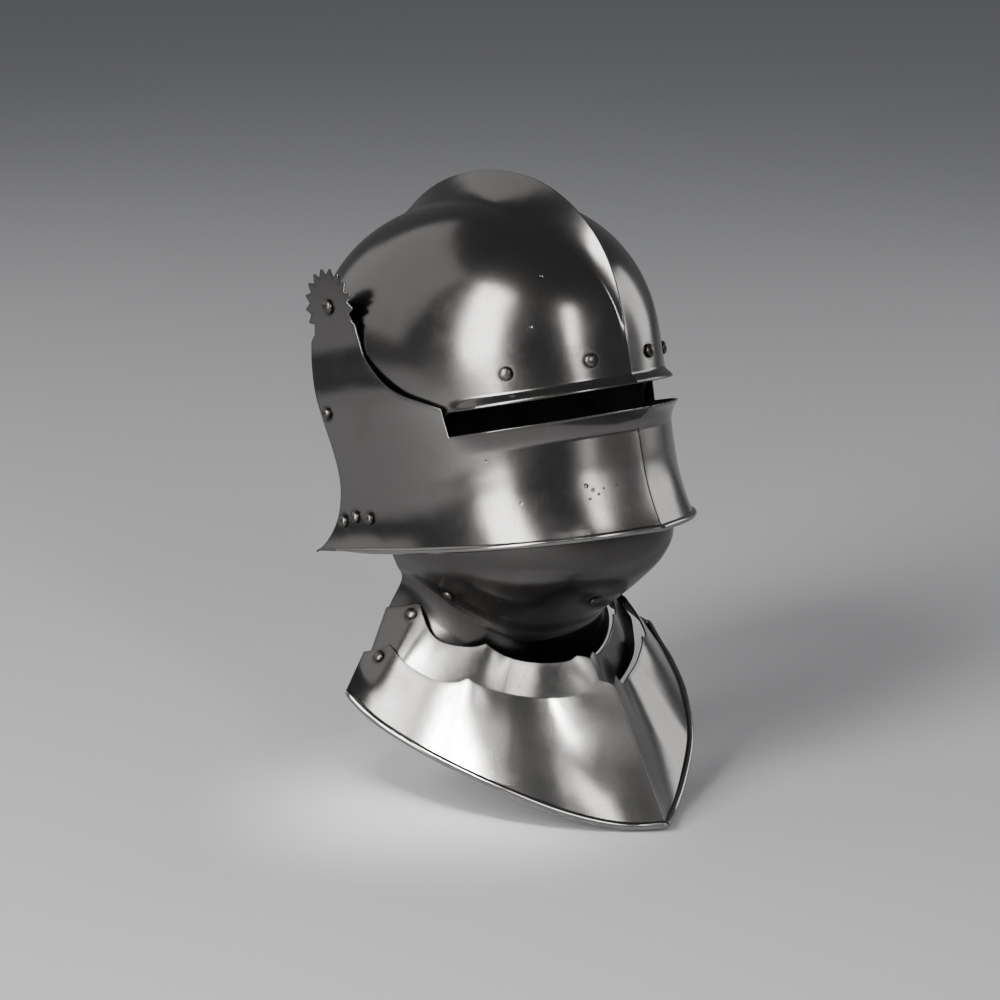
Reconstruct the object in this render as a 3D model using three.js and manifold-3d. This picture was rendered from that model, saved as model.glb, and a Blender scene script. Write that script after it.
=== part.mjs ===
// A late medieval field helmet: a sallet with a medial comb and a hinged visor, worn over a bevor
// whose chin plate carries two hinged gorget lames. Millimetres, Z up, front toward -Y.
import * as THREE from 'three';
import { mergeVertices } from 'three/addons/utils/BufferGeometryUtils.js';
import Module from 'manifold-3d';

const wasm = await Module();
wasm.setup();

// Sallet skull, in its own level frame before it is tipped back on the head
const TILT = THREE.MathUtils.degToRad(14);
const SKULL_WIDTH = 202;
const SKULL_FRONT = 146;
const SKULL_BACK = 118;
const SKULL_CENTRE = -4;
const SKULL_PLATE = 1.5;
const DOME_START = 10;
const DOME_HEIGHT = 112;
const WALL_SHARE = 0.4;
const BROW_LEVEL = -19.5;
const BROW_END = -70;
const BROW_RIVET_LEVEL = -0.5;
const CHEEK_START = -35;
const NAPE_LEVEL = -103;
const CHEEK_TUCK = 3;
const TUCK_DEPTH = 75;
const TAIL_FLARE = 7;
const TAIL_REACH = 45;
const TAIL_HEIGHT = 35;
const COMB_HEIGHT = 17;
const COMB_WIDTH = 50;
const BROW_CREASE = 4.5;
const BROW_CREASE_WIDTH = 14;
const BROW_FLANGE = 4.5;
const BROW_FLANGE_HEIGHT = 7;
const BROW_FLANGE_RUN = 22;

// Visor, which hangs on two pivot rivets outside the skull
const VISOR_PLATE = 1.4;
const VISOR_CLEARANCE = 3.6;
const VISOR_FRONT = 143;
const VISOR_KEEL = 10;
const VISOR_KEEL_WIDTH = 20;
const VISOR_DEPTH = 81;
const VISOR_WAIST = 4.5;
const WAIST_START = -5;
const WAIST_FULL = -65;
const ARM_TUCK = 4.5;
const VISOR_HEM_FLARE = 4;
const VISOR_CORNER_FLARE = 9;
const VISOR_CHIN_FLARE = 8;
const VISOR_HEM_SLOPE = 0.061;
const SIGHT_HEIGHT = 17;
const SIGHT_END = -70;
const LIP_FLARE = 5;
const LIP_PEAK = 10;
const LIP_PEAK_WIDTH = 40;
const LIP_HEIGHT = 14;
const HEM_ROLL = 2.2;
const HEM_ROLL_HEIGHT = 4.6;
const PIVOT_Y = 24;
const PIVOT_Z = 61.3;
const DISC_RADIUS = 25.5;
const TOOTH_DEPTH = 4.8;
const TOOTH_COUNT = 12;
const VISOR_BACK = 78;

// Bevor, which stands upright below the sallet: chin plate, then two lames that spread over the collar
const BEVOR_PLATE = 1.3;
const BEVOR_TOP = -35;
const BEVOR_HEIGHT = 242;
const CHIN_LEAD = 7;
const CHEEK_SEAT_GAP = 0.6;
const GORGET_WIDTH = 274;
const GORGET_REACH = 193;
const GORGET_ROLL = 2.6;
const GORGET_ROLL_HEIGHT = 5.5;

// Rivets: head radius, head height and shank radius of each kind
const PIVOT_RIVET = { head: 5.5, rise: 3, shank: 3 };
const BROW_RIVET = { head: 4.7, rise: 3, shank: 2 };
const SIDE_RIVET = { head: 4.4, rise: 3, shank: 2 };
const CORNER_RIVET = { head: 4, rise: 3, shank: 1.8 };
const CHIN_RIVET = { head: 3.4, rise: 2, shank: 1.5 };
const LAME_RIVET = { head: 3.8, rise: 2.2, shank: 1.8 };
const RIVET_FIT = 0.3;
const RIVET_SEAT = 0.5;
const RIVET_TAIL = 1.2;
const RIVET_SIDES = 8;
const COLLAR_RADIUS = 7;

const HALF = SKULL_WIDTH / 2;
const VISOR_HALF = HALF + VISOR_CLEARANCE + VISOR_PLATE;
const LIP_LEVEL = BROW_LEVEL - SIGHT_HEIGHT;
const VISOR_HEM = LIP_LEVEL - VISOR_DEPTH;
const QUARTER = Math.PI / 2;

const clamp = THREE.MathUtils.clamp;
const lerp = THREE.MathUtils.lerp;
const ease = (from, to, value) => THREE.MathUtils.smoothstep((value - from) / (to - from), 0, 1);
const power = (value, exponent) => Math.sign(value) * Math.abs(value) ** exponent;

const steel = (color, roughness) => new THREE.MeshStandardMaterial({ color, roughness, metalness: 1 });
const BRIGHT_STEEL = steel(0x8f8c88, 0.28);
const RIVET_STEEL = steel(0x7b7875, 0.35);

// Solids: three.js geometries to and from closed bodies that can be cut
function toBody(geometry) {
  const bare = geometry.clone();
  bare.deleteAttribute('normal');
  bare.deleteAttribute('uv');
  const merged = mergeVertices(bare, 1e-4);
  const numbers = new wasm.Mesh({
    numProp: 3,
    vertProperties: Float32Array.from(merged.attributes.position.array),
    triVerts: Uint32Array.from(merged.index.array),
  });
  return new wasm.Manifold(numbers);
}

function toGeometry(body) {
  const mesh = body.getMesh();
  const geometry = new THREE.BufferGeometry();
  geometry.setAttribute('position', new THREE.BufferAttribute(mesh.vertProperties, 3));
  geometry.setIndex(new THREE.BufferAttribute(mesh.triVerts, 1));
  geometry.computeVertexNormals();
  return geometry;
}

// Unit vector pointing out of a face, from its slopes along its two directions
function outward(face, across, along) {
  const step = 1e-3;
  const run = face(across + step, along).sub(face(across - step, along));
  const rise = face(across, along + step).sub(face(across, along - step));
  return run.cross(rise).normalize();
}

// A sheet of steel: an outer face over a grid, an inner face one thickness behind it, and rims between
function sheet({ columns, rows, face, thickness, loop = false, pole = null }) {
  const outer = [];
  const inner = [];
  for (const across of columns) {
    for (const along of rows) {
      const atPole = pole && along === rows.at(-1);
      const point = face(across, along);
      const normal = atPole ? pole : outward(face, across, along);
      outer.push(point);
      inner.push(point.clone().addScaledVector(normal, -thickness));
    }
  }
  const points = [...outer, ...inner];
  const triangles = [];
  const count = rows.length;
  const behind = outer.length;
  const quad = (a, b, c, d) => triangles.push(a, b, c, a, c, d);
  const spans = loop ? columns.length : columns.length - 1;
  for (let i = 0; i < spans; i += 1) {
    const next = (i + 1) % columns.length;
    for (let j = 0; j < count - 1; j += 1) {
      const a = i * count + j;
      const b = next * count + j;
      quad(a, b, b + 1, a + 1);
      quad(a + behind, a + 1 + behind, b + 1 + behind, b + behind);
    }
    quad(i * count, i * count + behind, next * count + behind, next * count);
    if (!pole) {
      const a = i * count + count - 1;
      const b = next * count + count - 1;
      quad(a, b, b + behind, a + behind);
    }
  }
  if (!loop) {
    const last = (columns.length - 1) * count;
    for (let j = 0; j < count - 1; j += 1) {
      quad(j, j + 1, j + 1 + behind, j + behind);
      quad(last + j, last + j + behind, last + j + 1 + behind, last + j + 1);
    }
  }
  const geometry = new THREE.BufferGeometry();
  geometry.setAttribute('position', new THREE.Float32BufferAttribute(points.flatMap((p) => p.toArray()), 3));
  geometry.setIndex(triangles);
  return toBody(withoutSlivers(mergeVertices(geometry, 1e-4)));
}

// The grid's triangles, less those that shrink to a line where columns meet at a point
function withoutSlivers(geometry) {
  const index = Array.from(geometry.index.array);
  const kept = [];
  for (let i = 0; i < index.length; i += 3) {
    const [a, b, c] = index.slice(i, i + 3);
    if (a !== b && b !== c && c !== a) kept.push(a, b, c);
  }
  geometry.setIndex(kept);
  return geometry;
}

const spread = (from, to, steps) => Array.from({ length: steps + 1 }, (_, i) => lerp(from, to, i / steps));

// Skull. Its plan is a superellipse, its dome closes over the crown, and the comb runs along the middle.
const skullEdge = (y) => lerp(BROW_LEVEL, NAPE_LEVEL, ease(BROW_END, CHEEK_START, y));

function skullFace(turn, height) {
  const ahead = Math.cos(turn);
  const squareness = ahead > 0 ? 2 : 2.5;
  const plan = SKULL_FRONT * Math.max(ahead, 0) ** (2 / squareness);
  const edge = skullEdge(ahead > 0 ? SKULL_CENTRE - plan : 0);
  const wall = clamp(height / WALL_SHARE, 0, 1);
  const climb = clamp((height - WALL_SHARE) / (1 - WALL_SHARE), 0, 1) * QUARTER;
  let z = climb > 0 ? DOME_START + DOME_HEIGHT * Math.sin(climb) ** (2 / 2.2) : lerp(edge, DOME_START, wall);
  const close = climb > 0 ? Math.max(1 - Math.sin(climb) ** 2, 0) ** (1 / 2.2) : 1;
  const low = Math.max((NAPE_LEVEL * 0.68 - z) / TAIL_HEIGHT, 0);
  const tuck = ease(DOME_START, DOME_START - TUCK_DEPTH, z);
  const tail = TAIL_FLARE * low ** 2 * ease(0.3, -0.4, ahead);
  const half = (HALF - CHEEK_TUCK * tuck + tail) * close;
  const back = SKULL_BACK - 4 * CHEEK_TUCK * tuck + TAIL_REACH * low ** 1.7;
  const length = (ahead > 0 ? SKULL_FRONT : back) * close;
  let x = half * power(Math.sin(turn), 2 / squareness);
  let y = SKULL_CENTRE - length * power(ahead, 2 / squareness);
  const angle = Math.atan2(z - DOME_START, (SKULL_CENTRE - y) / 1.3);
  const full = COMB_HEIGHT * ease(-0.05, 1.05, angle) * (1 - 0.9 * ease(1.35, 2.5, angle));
  const reach = (COMB_WIDTH / 2) * (0.12 + 0.88 * ease(0.1, 1, angle));
  const comb = full * Math.max(1 - Math.abs(x) / reach, 0) ** 1.7;
  const crease = BROW_CREASE * Math.exp(-Math.abs(x) / BROW_CREASE_WIDTH) * ease(1, 0.3, angle);
  const forward = ease(BROW_END, BROW_END - BROW_FLANGE_RUN, y);
  const flange = BROW_FLANGE * ease(edge + BROW_FLANGE_HEIGHT, edge, z) * forward;
  y -= comb * Math.cos(angle) + crease + flange * ahead;
  z += comb * Math.sin(angle);
  x += flange * Math.sin(turn);
  return new THREE.Vector3(x, y, z);
}

function skullColumns() {
  const front = [0, 3, 6, 10, 15, 22, 30, 38, 46, 54, 60, 64, 68, 72, 76, 80, 90];
  const back = [100, 115, 130, 145, 158, 168, 174, 180];
  const right = [...front, ...back];
  const left = right.slice(1, -1).reverse().map((angle) => 360 - angle);
  return [...right, ...left].map(THREE.MathUtils.degToRad);
}

function buildSkull() {
  const walls = [0, 0.04, 0.12, 0.26];
  const dome = spread(WALL_SHARE, 0.88, 5);
  const crown = [0.92, 0.955, 0.98, 1];
  return sheet({
    columns: skullColumns(),
    rows: [...walls, ...dome, ...crown],
    face: skullFace,
    thickness: SKULL_PLATE,
    loop: true,
    pole: new THREE.Vector3(0, 0, 1),
  });
}

// Visor. Columns run round the face from one rear edge to the other, rows from the hem upward.
const VISOR_TOP = PIVOT_Z + 1.2 * DISC_RADIUS;
const DISC_LOW = PIVOT_Z - DISC_RADIUS;
const DISC_FACE = VISOR_HALF - ARM_TUCK;
const visorHem = (y) => VISOR_HEM + VISOR_HEM_SLOPE * (y + VISOR_FRONT + VISOR_KEEL + VISOR_CHIN_FLARE);

function visorPlan(turn, z) {
  const down = (LIP_LEVEL - z) / VISOR_DEPTH;
  const low = Math.max((down - 0.469) / 0.494, 0) ** 2;
  const ahead = Math.max(Math.cos(turn), 0);
  const past = Math.max(Math.abs(turn) - QUARTER, 0);
  const front = VISOR_FRONT + VISOR_CHIN_FLARE * Math.max((down - 0.407) / 0.556, 0) ** 2;
  const straight = past * VISOR_BACK;
  const guess = past > 0 ? straight : -front * ahead ** (2 / 2.1);
  const flare = VISOR_HEM_FLARE + VISOR_CORNER_FLARE * ease(-0.42 * VISOR_FRONT, 0.513 * VISOR_BACK, guess);
  const waist = VISOR_WAIST * ease(WAIST_START, WAIST_FULL, z);
  const tuck = ARM_TUCK * ease(0, DISC_LOW, z);
  const half = VISOR_HALF - waist - tuck + flare * low;
  const x = half * (past > 0 ? Math.sign(turn) : power(Math.sin(turn), 2 / 2.1));
  return { x, y: guess - VISOR_KEEL * Math.exp(-Math.abs(x) / VISOR_KEEL_WIDTH) };
}

function visorFace(turn, height) {
  const level = visorPlan(turn, VISOR_HEM);
  const hem = visorHem(level.y);
  const z = height < 1 ? lerp(hem, LIP_LEVEL, height) : lerp(LIP_LEVEL, VISOR_TOP, height - 1);
  const { x, y } = visorPlan(turn, z);
  const near = clamp(1 - (LIP_LEVEL - z) / LIP_HEIGHT, 0, 1) ** 2;
  const forward = ease(-0.503 * VISOR_FRONT, -0.7 * VISOR_FRONT, y);
  const lip = near * (LIP_FLARE + LIP_PEAK * Math.exp(-((x / LIP_PEAK_WIDTH) ** 2))) * forward;
  const roll = HEM_ROLL * Math.sqrt(Math.max(1 - ((z - hem) / (HEM_ROLL_HEIGHT / 2) - 1) ** 2, 0));
  const stand = (lip + roll) / VISOR_FRONT;
  return new THREE.Vector3(x * (1 + stand * (VISOR_FRONT / VISOR_HALF)), y * (1 + stand), z);
}

// Side outline of the visor: hem, sight slot, arm, toothed disc over the pivot, and rear edge
function visorOutline() {
  const outline = new THREE.Shape();
  const front = -1.6 * VISOR_FRONT;
  const bottom = VISOR_HEM - VISOR_DEPTH / 4;
  outline.moveTo(front, bottom);
  outline.lineTo(front, LIP_LEVEL);
  outline.lineTo(SIGHT_END, LIP_LEVEL);
  outline.lineTo(SIGHT_END + 1, BROW_LEVEL + 1);
  const neckY = PIVOT_Y - DISC_RADIUS * 0.98;
  const neckZ = PIVOT_Z - DISC_RADIUS * 0.56;
  const curve = [[0.979, 0.971], [0.796, 0.885], [0.571, 0.786], [0.391, 0.666], [0.226, 0.507],
    [0.075, 0.32], [0.018, 0.11], [0, 0]];
  for (const [forward, down] of curve) {
    outline.lineTo(lerp(neckY, SIGHT_END + 1, forward), lerp(neckZ, BROW_LEVEL + 1, down));
  }
  const first = Math.PI + Math.asin(0.48);
  const last = -Math.asin(0.62);
  for (let i = 0; i <= 2 * TOOTH_COUNT; i += 1) {
    const angle = lerp(first, last, i / (2 * TOOTH_COUNT));
    const radius = i % 2 === 0 ? DISC_RADIUS : DISC_RADIUS - TOOTH_DEPTH;
    outline.lineTo(PIVOT_Y + radius * Math.cos(angle), PIVOT_Z + radius * Math.sin(angle));
  }
  const rear = [[0.13, 0.5], [0.18, 0.54], [0.244, 0.545], [0.37, 0.48], [0.43, 0.44], [0.562, 0.37],
    [0.69, 0.36], [0.794, 0.43], [0.895, 0.6], [0.965, 0.81], [1, 1.03], [1.01, 1.04], [1.2, 1.04]];
  const drop = PIVOT_Z - visorHem(VISOR_BACK);
  for (const [down, behind] of rear) {
    outline.lineTo(PIVOT_Y + behind * 2 * DISC_RADIUS, PIVOT_Z - down * drop);
  }
  outline.closePath();
  return outline;
}

function visorCutter() {
  const width = 3 * VISOR_HALF;
  const slab = new THREE.ExtrudeGeometry(visorOutline(), { depth: width, bevelEnabled: false });
  slab.translate(0, 0, -width / 2);
  const axes = new THREE.Matrix4().makeBasis(
    new THREE.Vector3(0, 1, 0),
    new THREE.Vector3(0, 0, 1),
    new THREE.Vector3(1, 0, 0),
  );
  return toBody(slab.applyMatrix4(axes));
}

function buildVisor() {
  const half = [0, 5, 12, 21, 31, 42, 52, 61, 70, 80, 90].map(THREE.MathUtils.degToRad);
  const side = [0.2, 0.5, 0.85, 1.05].map((share) => QUARTER + share);
  const right = [...half, ...side];
  const columns = [...right.slice(1).reverse().map((turn) => -turn), ...right];
  const roll = HEM_ROLL_HEIGHT / VISOR_DEPTH;
  const lip = 1 - LIP_HEIGHT / VISOR_DEPTH;
  const arm = [0.14, 0.29, 0.38, 0.475, 0.57, 1].map((share) => 1 + share);
  const rows = [0, roll * 0.25, roll * 0.75, roll, 0.18, 0.34, 0.52, 0.7, lip, 0.9, 0.96, 1, ...arm];
  const plate = sheet({ columns, rows, face: visorFace, thickness: VISOR_PLATE });
  return plate.intersect(visorCutter());
}

// Chin plate. Each row is a level: drop at the back and at the front as shares of the bevor's height, half
// width, back line and front line as shares of the chin's half width and reach, and squareness.
const CHIN_LEVELS = [
  [0.1, 0, 1, 0, 0.933, 2.7],
  [0.194, 0.227, 0.959, -0.067, 1, 2.7],
  [0.26, 0.318, 0.949, -0.067, 0.954, 2.7],
  [0.302, 0.409, 0.918, -0.067, 0.8, 2.8],
  [0.351, 0.483, 0.855, -0.06, 0.66, 2.7],
  [0.393, 0.541, 0.803, -0.053, 0.56, 2.6],
  [0.459, 0.599, 0.845, -0.013, 0.54, 2.4],
  [0.517, 0.661, 0.925, 0, 0.53, 2.4],
];
const CHIN_DROP_CURVE = 1.6;
const CHIN_END = CHIN_LEVELS.length - 1;
const CHIN_HALF = HALF - CHEEK_TUCK - SKULL_PLATE - CHEEK_SEAT_GAP;
const CHIN_REACH = VISOR_FRONT + CHIN_LEAD;

// A row between the rows of a table, on a curve through its neighbours; the ends run on straight
function rowAt(table, place) {
  const i = clamp(Math.floor(place), 0, table.length - 2);
  const t = place - i;
  return table[i].map((b, k) => {
    const c = table[i + 1][k];
    const a = i > 0 ? table[i - 1][k] : 2 * b - c;
    const d = i < table.length - 2 ? table[i + 2][k] : 2 * c - b;
    return b + 0.5 * t * (c - a + t * (2 * a - 5 * b + 4 * c - d + t * (3 * (b - c) + d - a)));
  });
}

const dropTo = (share) => BEVOR_TOP - BEVOR_HEIGHT * share;

function chinFace(turn, share) {
  const [back, front, width, heel, reach, squareness] = rowAt(CHIN_LEVELS, CHIN_END * (1 - share));
  const ahead = Math.max(Math.cos(turn), 0);
  const x = width * CHIN_HALF * power(Math.sin(turn), 2 / squareness);
  const y = CHIN_REACH * (heel - (reach + heel) * ahead ** (2 / squareness));
  return new THREE.Vector3(x, y, dropTo(lerp(back, front, ahead ** CHIN_DROP_CURVE)));
}

// Lames. Each is ruled between two rails that run from the middle ridge to the rear end, through points at
// these stops. A point's shares are of a half width, a reach forward and the bevor's height.
const RAIL_STOPS = [0, 0.12, 0.3, 0.5, 0.7, 0.85, 0.93, 1];
const UPPER_TOP = [[0, 0.757, 0.58], [0.099, 0.72, 0.58], [0.282, 0.633, 0.572], [0.448, 0.563, 0.562],
  [0.605, 0.493, 0.541], [0.766, 0.327, 0.5], [0.819, 0.193, 0.45], [0.865, 0.02, 0.442]];
const LOWER_TOP = [[0, 0.917, 0.629], [0.146, 0.84, 0.63], [0.355, 0.7, 0.63], [0.594, 0.62, 0.626],
  [0.829, 0.537, 0.617], [1.001, 0.367, 0.583], [1.084, 0.197, 0.548], [1.074, 0.027, 0.558]];
const LOWER_HEM = [[0, 0.998, 0.994], [0.161, 0.907, 0.997], [0.383, 0.79, 0.959], [0.628, 0.641, 0.886],
  [0.82, 0.46, 0.811], [0.927, 0.306, 0.752], [0.969, 0.207, 0.713], [1, 0.117, 0.664]];

// The upper lame ends behind the lower plate: how far down that plate, and how far in toward the neck
const UPPER_END = [[0.21, 0.905], [0.208, 0.908], [0.214, 0.908], [0.238, 0.892], [0.262, 0.886],
  [0.34, 0.912], [0.397, 0.953], [0.5, 0.93]];

// Filed upper edges: how far the scallops cut down each lame at these places
const UPPER_CUT = [[0, 0.08], [0.1, 0], [0.2, 0.14], [0.3, 0.2], [0.45, 0.17], [0.6, 0.08], [0.7, 0],
  [0.77, 0.17], [0.83, 0.25], [0.88, 0.19], [0.935, 0], [1, 0.18]];
const LOWER_CUT = [[0, 0.045], [0.085, 0], [0.2, 0.11], [0.33, 0.147], [0.5, 0.11], [0.62, 0.045], [0.7, 0],
  [0.76, 0.11], [0.83, 0.15], [0.89, 0.1], [0.935, 0], [1, 0.22]];

function stopAt(across) {
  const i = clamp(RAIL_STOPS.findIndex((stop) => stop >= across), 1, RAIL_STOPS.length - 1);
  return i - 1 + (across - RAIL_STOPS[i - 1]) / (RAIL_STOPS[i] - RAIL_STOPS[i - 1]);
}

function railPoint(rail, across, half, reach) {
  const [x, y, z] = rowAt(rail, stopAt(Math.abs(across)));
  return new THREE.Vector3(Math.sign(across) * x * half, -y * reach, dropTo(z));
}

function cutAt(cuts, across) {
  const i = Math.max(cuts.findIndex(([at]) => at >= Math.abs(across)), 1);
  const [from, start] = cuts[i - 1];
  const [to, end] = cuts[i];
  return lerp(start, end, clamp((Math.abs(across) - from) / (to - from), 0, 1));
}

function lowerRuled(across, up) {
  const hem = railPoint(LOWER_HEM, across, GORGET_WIDTH / 2, GORGET_REACH);
  return hem.lerp(railPoint(LOWER_TOP, across, CHIN_HALF, CHIN_REACH), up);
}

function upperRuled(across, up) {
  const [down, inward] = rowAt(UPPER_END, stopAt(Math.abs(across)));
  const end = lowerRuled(across, 1 - down).multiply(new THREE.Vector3(inward, inward, 1));
  return end.lerp(railPoint(UPPER_TOP, across, CHIN_HALF, CHIN_REACH), up);
}

const upperFace = (across, share) => upperRuled(across, share * (1 - cutAt(UPPER_CUT, across)));

// The lower plate, with the rolled bead along its hem
function lowerFace(across, share) {
  const up = share * (1 - cutAt(LOWER_CUT, across));
  const point = lowerRuled(across, up);
  const rise = point.distanceTo(lowerRuled(across, 0));
  const bead = GORGET_ROLL * Math.sqrt(Math.max(1 - (rise / (GORGET_ROLL_HEIGHT / 2) - 1) ** 2, 0));
  return point.addScaledVector(outward(lowerRuled, across, up), bead);
}

const mirrored = (half) => [...half.slice(1).reverse().map((value) => -value), ...half];
const CHIN_ANGLES = [0, 4, 8, 16, 24, 32, 40, 48, 56, 63, 70, 76, 81, 86, 90];
const CHIN_COLUMNS = mirrored(CHIN_ANGLES.map(THREE.MathUtils.degToRad));
const LAME_COLUMNS = mirrored([0, 0.04, 0.09, 0.14, 0.2, 0.3, 0.4, 0.5, 0.6, 0.7, 0.76, 0.83, 0.89, 0.935,
  0.965, 1]);

const buildChin = () => sheet({
  columns: CHIN_COLUMNS,
  rows: [0, 0.12, 0.22, 0.29, 0.36, 0.43, 0.52, 0.62, 0.73, 0.86, 1],
  face: chinFace,
  thickness: BEVOR_PLATE,
});

const buildUpperLame = () => sheet({
  columns: LAME_COLUMNS,
  rows: spread(0, 1, 3),
  face: upperFace,
  thickness: BEVOR_PLATE,
});

const buildLowerPlate = () => sheet({
  columns: LAME_COLUMNS,
  rows: [0, 0.014, 0.043, 0.06, 0.3, 0.55, 0.78, 1],
  face: lowerFace,
  thickness: BEVOR_PLATE,
});

// A rivet: domed head outside, shank through the plates, and a peened end inside. Z is its axis.
function rivetGeometry({ head, rise, shank }, grip) {
  const under = RIVET_SEAT;
  const behind = -grip - RIVET_SEAT;
  const profile = [
    [0, behind - RIVET_TAIL], [shank * 1.5, behind - RIVET_TAIL], [shank * 1.5, behind], [shank, behind],
    [shank, under], [head, under], [head * 0.92, under + rise * 0.4], [head * 0.6, under + rise * 0.8],
    [0, under + rise],
  ];
  const lathe = new THREE.LatheGeometry(profile.map(([r, z]) => new THREE.Vector2(r, z)), RIVET_SIDES);
  return lathe.rotateX(QUARTER);
}

function drill({ shank }, seat, depth) {
  const hole = new THREE.CylinderGeometry(shank + RIVET_FIT, shank + RIVET_FIT, depth, RIVET_SIDES);
  hole.rotateX(QUARTER);
  hole.applyQuaternion(seat.turn);
  hole.translate(...seat.point.toArray());
  return toBody(hole);
}

function seatOn(face, across, along) {
  const point = face(across, along);
  const normal = outward(face, across, along);
  const turn = new THREE.Quaternion().setFromUnitVectors(new THREE.Vector3(0, 0, 1), normal);
  return { point, turn };
}

// Length of a rivet that runs from its seat to the far side of another plate. Newton steps find where its
// axis meets that plate's face, and the plate's lean adds the room that the peened end needs.
function gripThrough({ point, turn }, face, across, along, { shank }) {
  const axis = new THREE.Vector3(0, 0, 1).applyQuaternion(turn);
  const step = 1e-3;
  let depth = 0;
  for (let i = 0; i < 8; i += 1) {
    const place = face(across, along);
    const run = face(across + step, along).sub(place).divideScalar(step);
    const rise = face(across, along + step).sub(place).divideScalar(step);
    const slopes = new THREE.Matrix3().set(run.x, rise.x, axis.x, run.y, rise.y, axis.y, run.z, rise.z, axis.z);
    const miss = point.clone().addScaledVector(axis, -depth).sub(place).applyMatrix3(slopes.invert());
    across += miss.x;
    along += miss.y;
    depth += miss.z;
  }
  const lean = Math.abs(outward(face, across, along).dot(axis));
  return depth + BEVOR_PLATE / lean + (1.5 * shank * Math.sqrt(1 - lean ** 2)) / lean;
}

function sideSeat(side, y, z) {
  const normal = new THREE.Vector3(side, 0, 0);
  const turn = new THREE.Quaternion().setFromUnitVectors(new THREE.Vector3(0, 0, 1), normal);
  return { point: new THREE.Vector3(side * DISC_FACE, y, z), turn };
}

// The visor's surface at a given side, distance back and height, seen square to the plate
function visorSeat(side, y, z) {
  const turn = side * (y > 0 ? QUARTER + y / VISOR_BACK : Math.acos((-y / VISOR_FRONT) ** (2.1 / 2)));
  const height = (z - visorHem(y)) / (LIP_LEVEL - visorHem(y));
  const above = 1 + (z - LIP_LEVEL) / (VISOR_TOP - LIP_LEVEL);
  return seatOn(visorFace, turn, z < LIP_LEVEL ? height : above);
}

// Half width of the dome at a place behind the centre line, where the pivots sit
function skullHalfAt(y, z) {
  const close = (1 - ((z - DOME_START) / DOME_HEIGHT) ** 2.2) ** (1 / 2.2);
  const back = (y - SKULL_CENTRE) / (SKULL_BACK * close);
  return HALF * close * (1 - back ** 2.5) ** (1 / 2.5);
}

// Spacer on a pivot rivet, from the skull's slope out to the back of the toothed disc
function collarGeometry() {
  const near = skullHalfAt(PIVOT_Y, PIVOT_Z - COLLAR_RADIUS) + RIVET_SEAT;
  const far = DISC_FACE - VISOR_PLATE - RIVET_SEAT;
  const bore = PIVOT_RIVET.shank + RIVET_FIT;
  const profile = [[bore, near], [COLLAR_RADIUS, near], [COLLAR_RADIUS, far], [bore, far], [bore, near]];
  return new THREE.LatheGeometry(profile.map(([r, z]) => new THREE.Vector2(r, z)), 2 * RIVET_SIDES);
}

const rivets = [];
function addRivet(name, kind, seat, holder, plates, grip) {
  rivets.push({ name, kind, seat, holder, plates, grip });
}

// Corner rivets of the visor: distance back and height over the hem, as shares of the visor's back and depth
const CORNER_PLACES = [['rear', 0.571, 0.265], ['middle', 0.397, 0.3], ['front', 0.192, 0.287]];

const browHeight = (WALL_SHARE * (BROW_RIVET_LEVEL - BROW_LEVEL)) / (DOME_START - BROW_LEVEL);
for (const [name, degrees] of [['inner', 14.6], ['outer', 43]]) {
  for (const [sideName, side] of [['right', -1], ['left', 1]]) {
    const seat = seatOn(skullFace, THREE.MathUtils.degToRad(side * degrees), browHeight);
    addRivet(`brow_rivet_${name}_${sideName}`, BROW_RIVET, seat, 'sallet', ['skull'], SKULL_PLATE);
  }
}
for (const [sideName, side] of [['right', -1], ['left', 1]]) {
  const inside = skullHalfAt(PIVOT_Y, PIVOT_Z + 1.5 * PIVOT_RIVET.shank) - 1.3 * SKULL_PLATE;
  addRivet(`visor_pivot_rivet_${sideName}`, PIVOT_RIVET, sideSeat(side, PIVOT_Y, PIVOT_Z), 'sallet',
    ['visor', 'skull'], DISC_FACE - inside);
  const sideRivet = visorSeat(side, VISOR_BACK / 2, lerp(LIP_LEVEL, VISOR_TOP, 0.21));
  addRivet(`visor_side_rivet_${sideName}`, SIDE_RIVET, sideRivet, 'sallet', ['visor'], VISOR_PLATE);
  for (const [place, back, rise] of CORNER_PLACES) {
    const y = back * VISOR_BACK;
    const corner = visorSeat(side, y, visorHem(y) + rise * VISOR_DEPTH);
    const name = `visor_corner_rivet_${place}_${sideName}`;
    addRivet(name, CORNER_RIVET, corner, 'sallet', ['visor'], VISOR_PLATE);
  }
  addRivet(`bevor_chin_rivet_${sideName}`, CHIN_RIVET, seatOn(chinFace, side * 1.117, 0.373), 'bevor',
    ['bevor_chin_plate'], BEVOR_PLATE);
  const upperSeat = seatOn(upperRuled, side * 0.937, 0.835);
  const upperGrip = gripThrough(upperSeat, chinFace, side * 1.3, 0.1, LAME_RIVET);
  addRivet(`gorget_upper_rivet_${sideName}`, LAME_RIVET, upperSeat, 'bevor',
    ['gorget_upper_lame', 'bevor_chin_plate'], upperGrip);
  const lowerSeat = seatOn(lowerRuled, side * 0.95, 0.79);
  const lowerGrip = gripThrough(lowerSeat, upperRuled, side * 0.95, 0.3, LAME_RIVET);
  addRivet(`gorget_lower_rivet_${sideName}`, LAME_RIVET, lowerSeat, 'bevor',
    ['gorget_lower_plate', 'gorget_upper_lame'], lowerGrip);
}
addRivet('bevor_chin_rivet_middle', CHIN_RIVET, seatOn(chinFace, 0, 0.558), 'bevor', ['bevor_chin_plate'],
  BEVOR_PLATE);

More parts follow.
